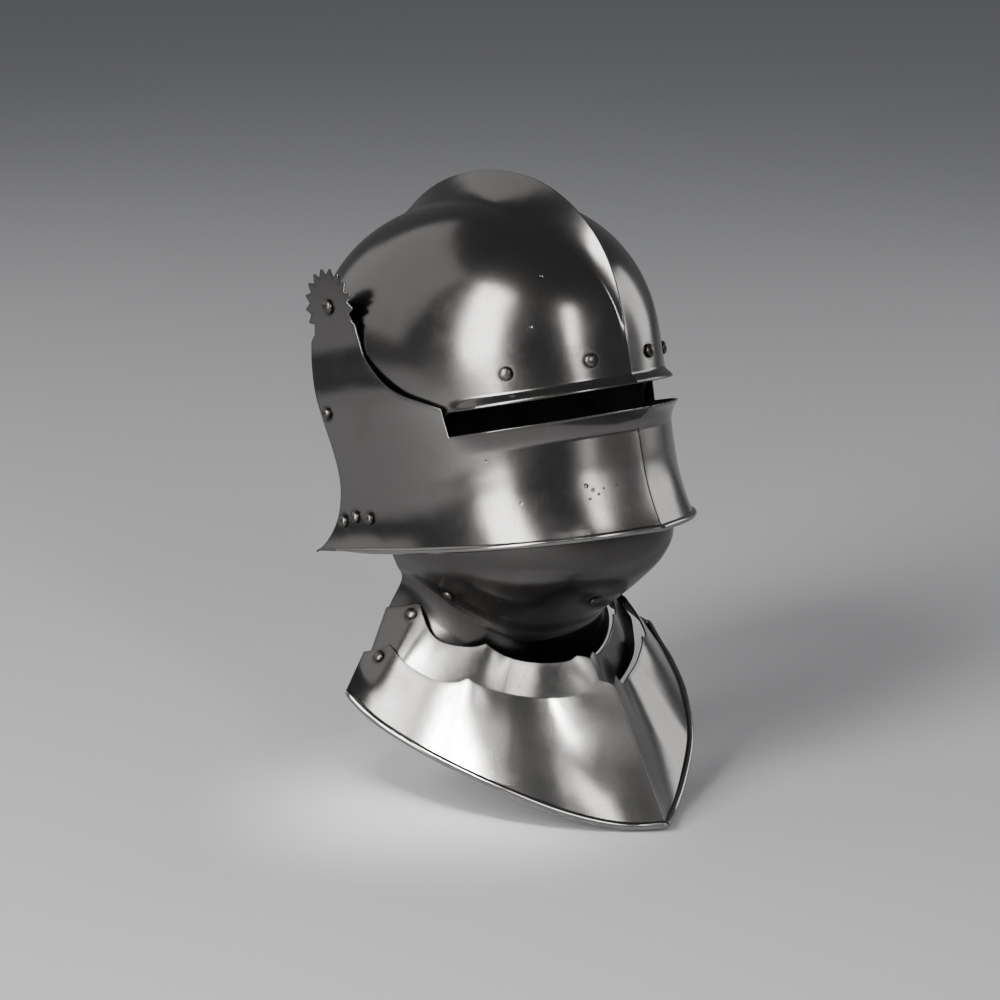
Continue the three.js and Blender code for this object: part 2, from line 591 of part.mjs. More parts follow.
const bodies = {
  skull: buildSkull(),
  visor: buildVisor(),
  bevor_chin_plate: buildChin(),
  gorget_upper_lame: buildUpperLame(),
  gorget_lower_plate: buildLowerPlate(),
};
for (const { kind, seat, plates, grip } of rivets) {
  for (const name of plates) bodies[name] = bodies[name].subtract(drill(kind, seat, 2 * (grip + kind.head)));
}

// The origin is the seat of the head, on the inside of the crown
const seat = new THREE.Vector3(0, SKULL_CENTRE, DOME_START + DOME_HEIGHT - SKULL_PLATE);
seat.applyAxisAngle(new THREE.Vector3(1, 0, 0), -TILT);
const sallet = new THREE.Group();
sallet.rotation.x = -TILT;
sallet.position.copy(seat).negate();
const bevor = new THREE.Group();
bevor.position.copy(seat).negate();

const holders = { sallet, bevor };
const home = { skull: sallet, visor: sallet };
for (const [name, body] of Object.entries(bodies)) {
  const mesh = new THREE.Mesh(toGeometry(body), BRIGHT_STEEL);
  mesh.name = name;
  (home[name] ?? bevor).add(mesh);
}
for (const { name, kind, seat: place, holder, grip } of rivets) {
  const mesh = new THREE.Mesh(rivetGeometry(kind, grip), RIVET_STEEL);
  mesh.name = name;
  mesh.position.copy(place.point);
  mesh.quaternion.copy(place.turn);
  holders[holder].add(mesh);
}

for (const [sideName, side] of [['right', -1], ['left', 1]]) {
  const mesh = new THREE.Mesh(collarGeometry(), RIVET_STEEL);
  mesh.name = `visor_pivot_collar_${sideName}`;
  mesh.position.set(0, PIVOT_Y, PIVOT_Z);
  mesh.rotation.z = -side * QUARTER;
  sallet.add(mesh);
}

const helmet = new THREE.Group();
helmet.add(sallet, bevor);

export default helmet;
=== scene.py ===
"""A late medieval sallet with its hinged visor, worn over a bevor with two hinged gorget lames.

The sallet is modelled level and then tipped back on the head. All places are in the frame of the seat of
the head, in metres, and the sizes below are in millimetres."""
import math

import bpy
import numpy as np
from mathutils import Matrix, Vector
from mathutils.geometry import delaunay_2d_cdt


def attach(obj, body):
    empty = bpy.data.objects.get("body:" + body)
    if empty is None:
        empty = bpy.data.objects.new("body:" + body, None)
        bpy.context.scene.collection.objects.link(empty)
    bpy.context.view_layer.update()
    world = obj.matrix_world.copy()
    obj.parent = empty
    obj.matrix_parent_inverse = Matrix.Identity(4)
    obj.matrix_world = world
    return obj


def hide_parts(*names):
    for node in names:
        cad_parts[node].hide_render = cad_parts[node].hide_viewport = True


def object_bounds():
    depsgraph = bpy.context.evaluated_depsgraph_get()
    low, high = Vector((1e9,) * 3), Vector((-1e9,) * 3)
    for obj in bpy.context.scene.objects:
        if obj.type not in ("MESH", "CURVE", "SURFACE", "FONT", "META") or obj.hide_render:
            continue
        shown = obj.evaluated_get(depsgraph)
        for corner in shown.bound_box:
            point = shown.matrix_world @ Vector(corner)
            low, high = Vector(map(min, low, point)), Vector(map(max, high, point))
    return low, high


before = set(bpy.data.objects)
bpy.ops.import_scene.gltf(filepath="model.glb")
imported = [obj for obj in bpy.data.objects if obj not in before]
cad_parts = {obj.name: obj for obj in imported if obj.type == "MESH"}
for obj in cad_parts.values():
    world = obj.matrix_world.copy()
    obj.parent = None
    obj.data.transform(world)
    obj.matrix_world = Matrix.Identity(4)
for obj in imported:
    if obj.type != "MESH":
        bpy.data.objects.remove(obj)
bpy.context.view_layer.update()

# Skull of the sallet: one bowl raised from a single sheet of steel, with a comb pinched up along the
# crown and the brow turned out. It is planished and polished, so its bands of light wander a little.
MM = 0.001
SALLET_TILT = math.radians(14)
SKULL_HALF = 101
SKULL_FRONT = 146
SKULL_BACK = 118
SKULL_CENTRE = -4
SKULL_PLATE = 1.5
DOME_START = 10
DOME_HEIGHT = 112
DOME_POWER = 2.2
WALL_SHARE = 0.4
BROW_LEVEL = -19.5
NAPE_LEVEL = -103
BROW_END = -70
CHEEK_START = -35
BACK_SQUARE = 2.5
CHEEK_TUCK = 3
NAPE_TUCK = 12
TUCK_DEPTH = 75
TAIL_LEVEL = 0.68 * NAPE_LEVEL
TAIL_FLARE = 7
TAIL_REACH = 45
TAIL_HEIGHT = 35
TAIL_CURVE = 1.7
TAIL_SIDES = (0.3, -0.4)
COMB_HEIGHT = 17
COMB_WIDTH = 50
COMB_NARROW = 0.12
COMB_POWER = 1.7
COMB_STRETCH = 1.3
COMB_FALL_SHARE = 0.9
BROW_CREASE = 4.5
BROW_CREASE_WIDTH = 14
BROW_FLANGE = 4.5
BROW_FLANGE_HEIGHT = 7
BROW_FLANGE_RUN = 22

# Outward angles in radians over which the comb widens, rises and falls away, and the brow's crease fades
COMB_WIDENS = (0.1, 1)
COMB_RISES = (-0.05, 1.05)
COMB_FALLS = (1.35, 2.5)
BROW_CREASE_FADES = (1, 0.3)


def smooth(start, stop, value):
    """Zero up to start and one past stop, with the S curve 3 t squared less 2 t cubed between them."""
    share = np.clip((value - start) / (stop - start), 0, 1)
    return share * share * (3 - 2 * share)


def blend_to(start, stop, share):
    """The straight mix of two values: start at share 0 and stop at share 1."""
    return start + (stop - start) * share


def signed_power(value, exponent):
    """The size of a value to a power, with the value's own sign."""
    return np.sign(value) * np.abs(value) ** exponent


def from_level(x, y, z):
    """A place on the level sallet, turned back about X by the tilt and taken from the seat of the head."""
    seat_y, seat_z = SKULL_CENTRE, DOME_START + DOME_HEIGHT - SKULL_PLATE
    back, up = y - seat_y, z - seat_z
    cosine, sine = math.cos(SALLET_TILT), math.sin(SALLET_TILT)
    return np.stack([x, back * cosine + up * sine, up * cosine - back * sine], axis=-1) * MM


def outward_normals(surface, across, along, step=1e-3):
    """Unit vectors square to a surface: the cross product of its slopes, each taken over a short step."""
    run = surface(across + step, along) - surface(across - step, along)
    rise = surface(across, along + step) - surface(across, along - step)
    normals = np.cross(run, rise)
    return normals / np.maximum(np.linalg.norm(normals, axis=-1, keepdims=True), 1e-12)


def skull_surface(turn, height):
    """Point of the skull at an angle round the head and a share of the height, 0 at the edge, 1 at the crown.

    The plan is an ellipse in front and a squarer superellipse behind. Up to its share of the height the wall
    stands on its edge, and above it width and length close as a superellipse. The comb rises along the
    outward angle as a power of one less the place across over its reach, and the brow has a medial crease,
    which falls off exponentially to the sides, and an outward flange."""
    turn, height = np.broadcast_arrays(np.asarray(turn, float), np.asarray(height, float))
    ahead = np.cos(turn)
    front = ahead > 0
    square = np.where(front, 2, BACK_SQUARE)
    plan = SKULL_FRONT * np.maximum(ahead, 0) ** (2 / square)
    cheek = smooth(BROW_END, CHEEK_START, np.where(front, SKULL_CENTRE - plan, 0))
    edge = blend_to(BROW_LEVEL, NAPE_LEVEL, cheek)
    wall = np.clip(height / WALL_SHARE, 0, 1)
    climb = np.clip((height - WALL_SHARE) / (1 - WALL_SHARE), 0, 1) * math.pi / 2
    dome = DOME_START + DOME_HEIGHT * np.sin(climb) ** (2 / DOME_POWER)
    z = np.where(climb > 0, dome, blend_to(edge, DOME_START, wall))
    close = np.where(climb > 0, np.maximum(1 - np.sin(climb) ** 2, 0) ** (1 / DOME_POWER), 1)
    low = np.maximum((TAIL_LEVEL - z) / TAIL_HEIGHT, 0)
    tuck = smooth(DOME_START, DOME_START - TUCK_DEPTH, z)
    tail = TAIL_FLARE * low**2 * smooth(*TAIL_SIDES, ahead)
    half = (SKULL_HALF - CHEEK_TUCK * tuck + tail) * close
    back = SKULL_BACK - NAPE_TUCK * tuck + TAIL_REACH * low**TAIL_CURVE
    length = np.where(front, SKULL_FRONT, back) * close
    x = half * signed_power(np.sin(turn), 2 / square)
    y = SKULL_CENTRE - length * signed_power(ahead, 2 / square)
    angle = np.arctan2(z - DOME_START, (SKULL_CENTRE - y) / COMB_STRETCH)
    full = COMB_HEIGHT * smooth(*COMB_RISES, angle) * (1 - COMB_FALL_SHARE * smooth(*COMB_FALLS, angle))
    reach = (COMB_WIDTH / 2) * blend_to(COMB_NARROW, 1, smooth(*COMB_WIDENS, angle))
    comb = full * np.maximum(1 - np.abs(x) / reach, 0) ** COMB_POWER
    crease = BROW_CREASE * np.exp(-np.abs(x) / BROW_CREASE_WIDTH) * smooth(*BROW_CREASE_FADES, angle)
    ahead_of_cheek = smooth(BROW_END, BROW_END - BROW_FLANGE_RUN, y)
    flange = BROW_FLANGE * smooth(edge + BROW_FLANGE_HEIGHT, edge, z) * ahead_of_cheek
    y = y - comb * np.cos(angle) - crease - flange * ahead
    return from_level(x + flange * np.sin(turn), y, z + comb * np.sin(angle))


def nearest(points, targets):
    """Distance in millimetres from each point to the nearest target, worked out in batches."""
    batches = np.array_split(points, 64)
    parts = [np.sqrt(((part[:, None] - targets[None]) ** 2).sum(-1).min(1)) for part in batches]
    return np.concatenate(parts) / MM


def grid_faces(columns, rows, loop=False):
    """Quads of a grid of points stored column by column, rows upward, closed round the columns for a loop."""
    column, row = np.meshgrid(np.arange(columns if loop else columns - 1), np.arange(rows - 1), indexing="ij")
    here = column * rows + row
    beside = (column + 1) % columns * rows + row
    return np.stack([here, beside, beside + 1, here + 1], axis=-1).reshape(-1, 4)


def open_edges(faces):
    """The directed edges that belong to one face only, and so run round the sheet's outline."""
    edges = np.concatenate([np.stack([f, np.roll(f, -1, axis=1)], axis=-1).reshape(-1, 2) for f in faces])
    key = np.sort(edges, axis=1) @ np.array([edges.max() + 1, 1])
    _, inverse, count = np.unique(key, return_inverse=True, return_counts=True)
    return edges[count[inverse] == 1]


def steel_plate(name, points, normals, faces, thickness, holes=()):
    """A closed plate from its outer face.

    The inner face lies one thickness behind it. Each open edge is rounded by a half circle: the middle of
    the edge plus half the thickness times cosine along the normal and sine along the way out of the plate.
    Two attributes hold each place's distance from the plate's edge and from its nearest rivet."""
    count = len(points)
    radius = thickness * MM / 2
    edges = open_edges(faces)
    way = np.cross(points[edges[:, 1]] - points[edges[:, 0]], normals[edges[:, 0]])
    way /= np.linalg.norm(way, axis=1, keepdims=True)
    outline, place = np.unique(edges, return_inverse=True)
    place = place.reshape(edges.shape)
    away = np.zeros((len(outline), 3))
    np.add.at(away, place[:, 0], way)
    np.add.at(away, place[:, 1], way)
    away /= np.linalg.norm(away, axis=1, keepdims=True)
    middle = points[outline] - radius * normals[outline]
    angles = np.linspace(0, math.pi, 7)[1:-1]
    round_normals = [math.cos(a) * normals[outline] + math.sin(a) * away for a in angles]
    rounds = [middle + radius * normal for normal in round_normals]
    inner = points - thickness * MM * normals
    all_points = np.concatenate([points, inner, *rounds])
    all_normals = np.concatenate([normals, -normals, *round_normals])
    rings = [outline] + [2 * count + k * len(outline) + np.arange(len(outline)) for k in range(len(angles))]
    rings.append(outline + count)
    rims = [np.stack([lo[place[:, 1]], lo[place[:, 0]], hi[place[:, 0]], hi[place[:, 1]]], axis=1)
            for lo, hi in zip(rings, rings[1:])]
    polygons = [*faces, *rims, *[f[:, ::-1] + count for f in faces]]
    mesh = bpy.data.meshes.new(name)
    mesh.from_pydata(all_points.tolist(), [], [p for part in polygons for p in part.tolist()])
    inside = sum(len(f) for f in faces)
    is_inner = np.arange(len(mesh.polygons)) >= len(mesh.polygons) - inside
    mesh.polygons.foreach_set("material_index", is_inner.astype(np.int32))
    mesh.polygons.foreach_set("use_smooth", np.ones(len(mesh.polygons), bool))
    mesh.normals_split_custom_set_from_vertices(all_normals.tolist())
    distances = {"edge_mm": nearest(points, points[outline]), "rivet_mm": np.full(count, 99.0)}
    if len(holes):
        distances["rivet_mm"] = nearest(points, np.array(holes))
    for key, distance in distances.items():
        values = np.concatenate([distance, distance, *[distance[outline]] * len(rounds)])
        mesh.attributes.new(key, "FLOAT", "POINT").data.foreach_set("value", values.astype(np.float32))
    piece = bpy.data.objects.new(name, mesh)
    bpy.context.scene.collection.objects.link(piece)
    return piece


def add_node(tree, kind, inputs=None, **settings):
    """A shader node with its settings, its fixed input values and its links."""
    node = tree.nodes.new(kind)
    for key, value in settings.items():
        setattr(node, key, value)
    for key, value in (inputs or {}).items():
        if isinstance(value, bpy.types.NodeSocket):
            tree.links.new(value, node.inputs[key])
        else:
            node.inputs[key].default_value = value
    return node


def add_math(tree, operation, first, second=0.0, clamp=False):
    """The output of a Math node."""
    inputs = {0: first, 1: second}
    return add_node(tree, "ShaderNodeMath", inputs, operation=operation, use_clamp=clamp).outputs[0]


def add_range(tree, value, low, high, start=0.0, stop=1.0):
    """A value taken smoothly from one range to another."""
    inputs = {"Value": value, "From Min": low, "From Max": high, "To Min": start, "To Max": stop}
    return add_node(tree, "ShaderNodeMapRange", inputs, interpolation_type="SMOOTHSTEP").outputs[0]


def add_noise(tree, place, scale, detail, stretch=(1, 1, 1), roughness=0.5):
    """Noise of a given number of waves to the metre, stretched along the axes."""
    mapped = add_node(tree, "ShaderNodeMapping", {"Vector": place, "Scale": stretch}).outputs[0]
    inputs = {"Vector": mapped, "Scale": scale, "Detail": detail, "Roughness": roughness}
    return add_node(tree, "ShaderNodeTexNoise", inputs).outputs["Fac"]


def add_mix(tree, share, first, second):
    """Two colours mixed by a share."""
    node = tree.nodes.new("ShaderNodeMix")
    node.data_type = "RGBA"
    for socket, value in ((node.inputs[0], share), (node.inputs[6], first), (node.inputs[7], second)):
        if isinstance(value, bpy.types.NodeSocket):
            tree.links.new(value, socket)
        else:
            socket.default_value = value
    return node.outputs[2]


def toned(colour, factor):
    """A colour made lighter or darker by a factor, fully opaque."""
    return tuple(factor * part for part in colour[:3]) + (1,)


def polished_steel(name, tone, gloss, pits=()):
    """Bright steel: a wandering planished face, fine polishing lines, stains and pits. By the plate's edges
    and round its rivets the colour is darkened, partly as grime and partly as painted shade where plates
    overlap and rivet heads meet the plate.

    tone is the steel's colour, gloss its roughness, and pits a list of place, radius and depth."""
    material = bpy.data.materials.new(name)
    material.use_nodes = True
    tree = material.node_tree
    shader = tree.nodes["Principled BSDF"]
    place = add_node(tree, "ShaderNodeTexCoord").outputs["Object"]
    edge = add_node(tree, "ShaderNodeAttribute", attribute_name="edge_mm").outputs["Fac"]
    rivet = add_node(tree, "ShaderNodeAttribute", attribute_name="rivet_mm").outputs["Fac"]
    stain = add_noise(tree, place, 26, 6, roughness=0.62)
    speck = add_noise(tree, place, 420, 4, roughness=0.7)
    brush = add_noise(tree, place, 500, 3, stretch=(1, 1, 0.06))
    cross_brush = add_noise(tree, place, 380, 3, stretch=(0.07, 0.07, 1))
    hammer = add_noise(tree, place, 30, 1)
    swell = add_noise(tree, place, 11, 1)
    # Darker by the plate's edges and round each rivet: partly grime, partly painted shade where plates
    # overlap and rivet heads meet the plate
    edge_darkening = add_range(tree, edge, 0.2, 3.2, 1, 0)
    rivet_darkening = add_range(tree, rivet, 4.6, 7.5, 1, 0)
    darkening_patches = add_range(tree, stain, 0.38, 0.62)
    grime_and_shade = add_math(tree, "MAXIMUM", add_math(tree, "MULTIPLY", edge_darkening, 0.35), rivet_darkening)
    half_noise = add_math(tree, "ADD", add_math(tree, "MULTIPLY", darkening_patches, 0.5), 0.5)
    grime_and_shade = add_math(tree, "MULTIPLY", grime_and_shade, half_noise, clamp=True)
    dark = toned(tone, 0.3)
    brown = (tone[0] * 0.8, tone[1] * 0.72, tone[2] * 0.62, 1)
    stained = add_mix(tree, add_range(tree, stain, 0.5, 0.75, 0, 0.35), tone, brown)
    specked = add_mix(tree, add_range(tree, speck, 0.62, 0.72, 0, 0.5), stained, dark)
    colour = add_mix(tree, grime_and_shade, specked, dark)
    rough = add_range(tree, stain, 0.3, 0.7, gloss - 0.02, gloss + 0.03)
    rough = add_math(tree, "ADD", rough, add_range(tree, speck, 0.55, 0.75, 0, 0.07))
    rough = add_math(tree, "ADD", rough, add_math(tree, "MULTIPLY", grime_and_shade, 0.18))
    lines = add_math(tree, "ADD", brush, cross_brush)
    height = add_math(tree, "MULTIPLY", lines, 0.012)
    height = add_math(tree, "ADD", height, add_math(tree, "MULTIPLY", hammer, 0.34))
    height = add_math(tree, "ADD", height, add_math(tree, "MULTIPLY", swell, 0.8))
    for centre, radius, depth in pits:
        ends = {0: place, 1: centre}
        offset = add_node(tree, "ShaderNodeVectorMath", ends, operation="DISTANCE").outputs["Value"]
        hollow = add_range(tree, offset, radius * 0.3 * MM, radius * MM, 1, 0)
        height = add_math(tree, "SUBTRACT", height, add_math(tree, "MULTIPLY", hollow, depth))
        colour = add_mix(tree, add_math(tree, "MULTIPLY", hollow, 0.5), colour, dark)
    bump = add_node(tree, "ShaderNodeBump", {"Height": height, "Strength": 1.0, "Distance": MM})
    tree.links.new(colour, shader.inputs["Base Color"])
    tree.links.new(rough, shader.inputs["Roughness"])
    tree.links.new(bump.outputs[0], shader.inputs["Normal"])
    shader.inputs["Metallic"].default_value = 1
    return material


def shaded_steel(name):
    """The inside of the plates: dull, left rough from the forge, and brown-black, made near black as painted
    shade so that the sight and the gaps between the plates read dark.
    """
    material = bpy.data.materials.new(name)
    material.use_nodes = True
    tree = material.node_tree
    shader = tree.nodes["Principled BSDF"]
    place = add_node(tree, "ShaderNodeTexCoord").outputs["Object"]
    patches = add_noise(tree, place, 60, 5, roughness=0.65)
    scale = add_noise(tree, place, 340, 4)
    # Near-black inside colour: partly forge scale, partly painted shade for the sight and the gaps between
    # plates
    scale_and_shade_black = (0.010, 0.009, 0.008, 1)
    rust = (0.034, 0.028, 0.023, 1)
    colour = add_mix(tree, add_range(tree, patches, 0.35, 0.65), scale_and_shade_black, rust)
    bump = add_node(tree, "ShaderNodeBump", {"Height": scale, "Strength": 0.5, "Distance": 0.4 * MM})
    tree.links.new(colour, shader.inputs["Base Color"])
    tree.links.new(add_range(tree, scale, 0.3, 0.7, 0.55, 0.8), shader.inputs["Roughness"])
    tree.links.new(bump.outputs[0], shader.inputs["Normal"])
    shader.inputs["Metallic"].default_value = 0.7
    return material


STEEL_TONE = (0.150, 0.145, 0.140, 1)

# Pits and dents of wear on the brow: place in metres, radius in millimetres, and depth
SKULL_PITS = [((-0.0399, -0.1342, -0.0312), 1.5, 0.25), ((-0.0542, -0.1411, -0.0614), 1.1, 0.2)]
SKULL_STEEL = polished_steel("skull_steel", STEEL_TONE, 0.19, SKULL_PITS)
INSIDE_STEEL = shaded_steel("inside_steel")
BROW_RIVET_TURNS = (math.radians(14.6), math.radians(43))
BROW_RIVET_LEVEL = -0.5
BROW_RIVET_HEIGHT = WALL_SHARE * (BROW_RIVET_LEVEL - BROW_LEVEL) / (DOME_START - BROW_LEVEL)

even = np.linspace(0, 2 * math.pi, 360, endpoint=False)
skull_turns = even - 0.375 * np.sin(2 * even)
skull_heights = np.concatenate([np.linspace(0, 0.06, 7), np.linspace(0.08, WALL_SHARE, 17),
                                np.linspace(0.41, 0.998, 74)])
turn, height = np.meshgrid(skull_turns, skull_heights, indexing="ij")
crown = skull_surface(0.0, 1.0).reshape(1, 3)
crown_up = np.array([[0, math.sin(SALLET_TILT), math.cos(SALLET_TILT)]])
skull_points = np.concatenate([skull_surface(turn, height).reshape(-1, 3), crown])
skull_normals = np.concatenate([outward_normals(skull_surface, turn, height).reshape(-1, 3), crown_up])
top_row = np.arange(len(skull_turns)) * len(skull_heights) + len(skull_heights) - 1
fan = np.stack([top_row, np.roll(top_row, -1), np.full(len(top_row), len(skull_points) - 1)], axis=1)
brow_seats = [skull_surface(side * turn, BROW_RIVET_HEIGHT) for turn in BROW_RIVET_TURNS for side in (-1, 1)]
skull_faces = [grid_faces(len(skull_turns), len(skull_heights), loop=True), fan]
skull = steel_plate("sallet_skull", skull_points, skull_normals, skull_faces, SKULL_PLATE, brow_seats)
skull.data.materials.append(SKULL_STEEL)
skull.data.materials.append(INSIDE_STEEL)
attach(skull, "helmet")
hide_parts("skull")

# Visor: a deep plate bent round the face. It was cut to its side outline with the arms and the toothed
# discs, its sight lip was boxed outward, and its lower corners flare to the rear.
VISOR_PLATE = 1.4
VISOR_CLEARANCE = 3.6
VISOR_HALF = SKULL_HALF + VISOR_CLEARANCE + VISOR_PLATE
VISOR_FRONT = 143
VISOR_SQUARE = 2.1
VISOR_KEEL = 10
VISOR_KEEL_WIDTH = 20
VISOR_DEPTH = 81
VISOR_WAIST = 4.5
WAIST_START = -5
WAIST_FULL = -65
ARM_TUCK = 3.9
VISOR_HEM_FLARE = 4
VISOR_CORNER_FLARE = 9
VISOR_CHIN_FLARE = 8
HEM_FLARE_DROP = 38
HEM_FLARE_HEIGHT = 40
CHIN_FLARE_DROP = 33
CHIN_FLARE_HEIGHT = 45
CORNER_FLARE_RUN = (-60, 40)
VISOR_HEM_SLOPE = 0.061
VISOR_BACK = 78
SIGHT_HEIGHT = 17
SIGHT_END = -70
LIP_LEVEL = BROW_LEVEL - SIGHT_HEIGHT
LIP_FLARE = 5
LIP_PEAK = 10
LIP_PEAK_WIDTH = 40
LIP_HEIGHT = 14
LIP_RUN = (-72, -100)
VISOR_HEM = LIP_LEVEL - VISOR_DEPTH
HEM_ROLL = 2.3
PIVOT_Y = 24
PIVOT_Z = 61.3
DISC_RADIUS = 25.5
DISC_FACE = VISOR_HALF - ARM_TUCK
TOOTH_DEPTH = 4.8
TOOTH_COUNT = 12
TOOTH_BLUNT = 0.07
FRONT_TOOTH_DROP = 0.48
REAR_TOOTH_DROP = 0.62
NECK_AHEAD = 0.98
NECK_DROP = 0.56
VISOR_MESH = 1.9
CREASE = 0.5
FLAT_SCALE = 100


def visor_hem(y):
    """Height of the visor's hem, which falls toward the front in a straight line."""
    return VISOR_HEM + VISOR_HEM_SLOPE * (y + VISOR_FRONT + VISOR_KEEL + VISOR_CHIN_FLARE)


def visor_plan(turn, z):
    """Side and fore place of the visor: a superellipse with a medial keel ahead, straight arms behind.

    The half width is waisted below the sight, flares again to the hem, and tucks in over the arms."""
    low = np.maximum((LIP_LEVEL - HEM_FLARE_DROP - z) / HEM_FLARE_HEIGHT, 0) ** 2
    past = np.maximum(np.abs(turn) - math.pi / 2, 0)
    chin = np.maximum((LIP_LEVEL - CHIN_FLARE_DROP - z) / CHIN_FLARE_HEIGHT, 0) ** 2
    front = VISOR_FRONT + VISOR_CHIN_FLARE * chin
    y = np.where(past > 0, past * VISOR_BACK, -front * np.maximum(np.cos(turn), 0) ** (2 / VISOR_SQUARE))
    flare = VISOR_HEM_FLARE + VISOR_CORNER_FLARE * smooth(*CORNER_FLARE_RUN, y)
    waist = VISOR_WAIST * smooth(WAIST_START, WAIST_FULL, z)
    tuck = ARM_TUCK * smooth(0, PIVOT_Z - DISC_RADIUS, z)
    half = VISOR_HALF - waist - tuck + flare * low
    x = half * np.where(past > 0, np.sign(turn), signed_power(np.sin(turn), 2 / VISOR_SQUARE))
    return x, y - VISOR_KEEL * np.exp(-np.abs(x) / VISOR_KEEL_WIDTH)


def visor_surface(turn, z):
    """The visor's plan at each height, with a lip that stands out at the sight and most at the middle."""
    x, y = visor_plan(turn, z)
    near = np.clip(1 - (LIP_LEVEL - z) / LIP_HEIGHT, 0, 1) ** 2
    peak = LIP_PEAK * np.exp(-((x / LIP_PEAK_WIDTH) ** 2))
    lip = near * (LIP_FLARE + peak) * smooth(*LIP_RUN, y)
    stand = lip / VISOR_FRONT
    return from_level(x * (1 + stand * VISOR_FRONT / VISOR_HALF), y * (1 + stand), z)


def curve_through(points, steps):
    """A Catmull-Rom curve through the points, with a number of steps between each two of them."""
    points = np.asarray(points, float)
    ends = np.concatenate([2 * points[:1] - points[1:2], points, 2 * points[-1:] - points[-2:-1]])
    a, b, c, d = (ends[k:len(ends) - 3 + k, None] for k in range(4))
    t = (np.arange(steps) / steps)[None, :, None]
    curve = b + 0.5 * t * (c - a + t * (2 * a - 5 * b + 4 * c - d + t * (3 * (b - c) + d - a)))
    return np.concatenate([curve.reshape(-1, points.shape[1]), points[-1:]])


def visor_side_outline():
    """Outline of one side of the visor from the sight's end over arm and disc and down the rear edge.

    The arm's front edge sweeps up to the disc. The disc's teeth alternate between two radii, with their
    tips a little blunted. The rear edge draws in below the disc and runs out again to the corner."""
    neck = np.array([PIVOT_Y - NECK_AHEAD * DISC_RADIUS, PIVOT_Z - NECK_DROP * DISC_RADIUS])
    foot = np.array([SIGHT_END + 1, BROW_LEVEL + 1])
    shares = [(1, 1), (0.979, 0.971), (0.796, 0.885), (0.571, 0.786), (0.391, 0.666), (0.226, 0.507),
              (0.075, 0.32), (0.018, 0.11), (0, 0)]
    arm = neck + curve_through(shares, 8) * (foot - neck)
    first = math.pi + math.asin(FRONT_TOOTH_DROP)
    last = -math.asin(REAR_TOOTH_DROP)
    turns = np.linspace(first, last, 2 * TOOTH_COUNT + 1)
    pitch = (first - last) / (2 * TOOTH_COUNT)
    tips = np.stack([turns[::2] + TOOTH_BLUNT * pitch, turns[::2] - TOOTH_BLUNT * pitch], axis=1).ravel()
    roots = turns[1::2]
    angles = np.concatenate([tips, roots])
    radii = np.concatenate([np.full(len(tips), DISC_RADIUS), np.full(len(roots), DISC_RADIUS - TOOTH_DEPTH)])
    order = np.argsort(-angles)
    angles, radii = angles[order], radii[order]
    disc = np.stack([PIVOT_Y + radii * np.cos(angles), PIVOT_Z + radii * np.sin(angles)], axis=1)
    rear_shares = [(0.13, 0.5), (0.18, 0.54), (0.244, 0.545), (0.37, 0.48), (0.43, 0.44), (0.562, 0.37),
                   (0.69, 0.36), (0.794, 0.43), (0.895, 0.6), (0.965, 0.81), (0.995, 1.0)]
    down, behind = curve_through(rear_shares, 6).T
    drop = PIVOT_Z - visor_hem(VISOR_BACK)
    rear = np.stack([PIVOT_Y + behind * 2 * DISC_RADIUS, PIVOT_Z - down * drop], axis=1)
    return np.concatenate([arm, disc, rear])


def visor_turn(y):
    """The angle round the visor of a place seen from the side: the plan's own formula turned about."""
    ahead = np.arccos(np.clip(-y / VISOR_FRONT, 0, 1) ** (VISOR_SQUARE / 2))
    return np.where(y > 0, math.pi / 2 + y / VISOR_BACK, ahead)


def fill_outline(outline, spacing):
    """Points and triangles that fill an outline: its own points, lines on the keel, and a staggered grid."""
    low, high = outline.min(0), outline.max(0)
    row = np.arange(low[1], high[1], spacing * 0.87)
    grid_x, grid_y = np.meshgrid(np.arange(low[0], high[0], spacing), row)
    stagger = spacing / 2 * (np.arange(len(row)) % 2)[:, None]
    grid = np.stack([(grid_x + stagger).ravel(), grid_y.ravel()], axis=1)
    start, stop = outline, np.roll(outline, -1, axis=0)
    kept = []
    for part in np.array_split(grid, 32):
        rise = (start[:, 1] > part[:, 1:]) != (stop[:, 1] > part[:, 1:])
        slope = (stop[:, 0] - start[:, 0]) / np.where(stop[:, 1] == start[:, 1], 1, stop[:, 1] - start[:, 1])
        crossings = rise & (part[:, :1] < start[:, 0] + slope * (part[:, 1:] - start[:, 1]))
        along = stop - start
        share = ((part[:, None] - start) * along).sum(-1) / np.maximum((along**2).sum(-1), 1e-9)
        foot = start + np.clip(share, 0, 1)[..., None] * along
        far = ((part[:, None] - foot) ** 2).sum(-1).min(1) > (0.55 * spacing) ** 2
        kept.append(part[(crossings.sum(1) % 2 == 1) & far & (np.abs(part[:, 0]) > 0.6 * spacing)])
    ends = outline[np.abs(outline[:, 0]) < 1e-6][:, 1]
    crease = np.linspace(ends.min(), ends.max(), int((ends.max() - ends.min()) / spacing) + 1)[1:-1]
    keel_lines = [np.stack([np.full(len(crease), x), crease], axis=1) for x in (-CREASE, 0, CREASE)]
    points = np.concatenate([outline, *keel_lines, *kept])
    filled = delaunay_2d_cdt([Vector(p) for p in points.tolist()], [], [list(range(len(outline)))], 1, 1e-6)
    return np.array([tuple(v) for v in filled[0]]), np.array(filled[2])


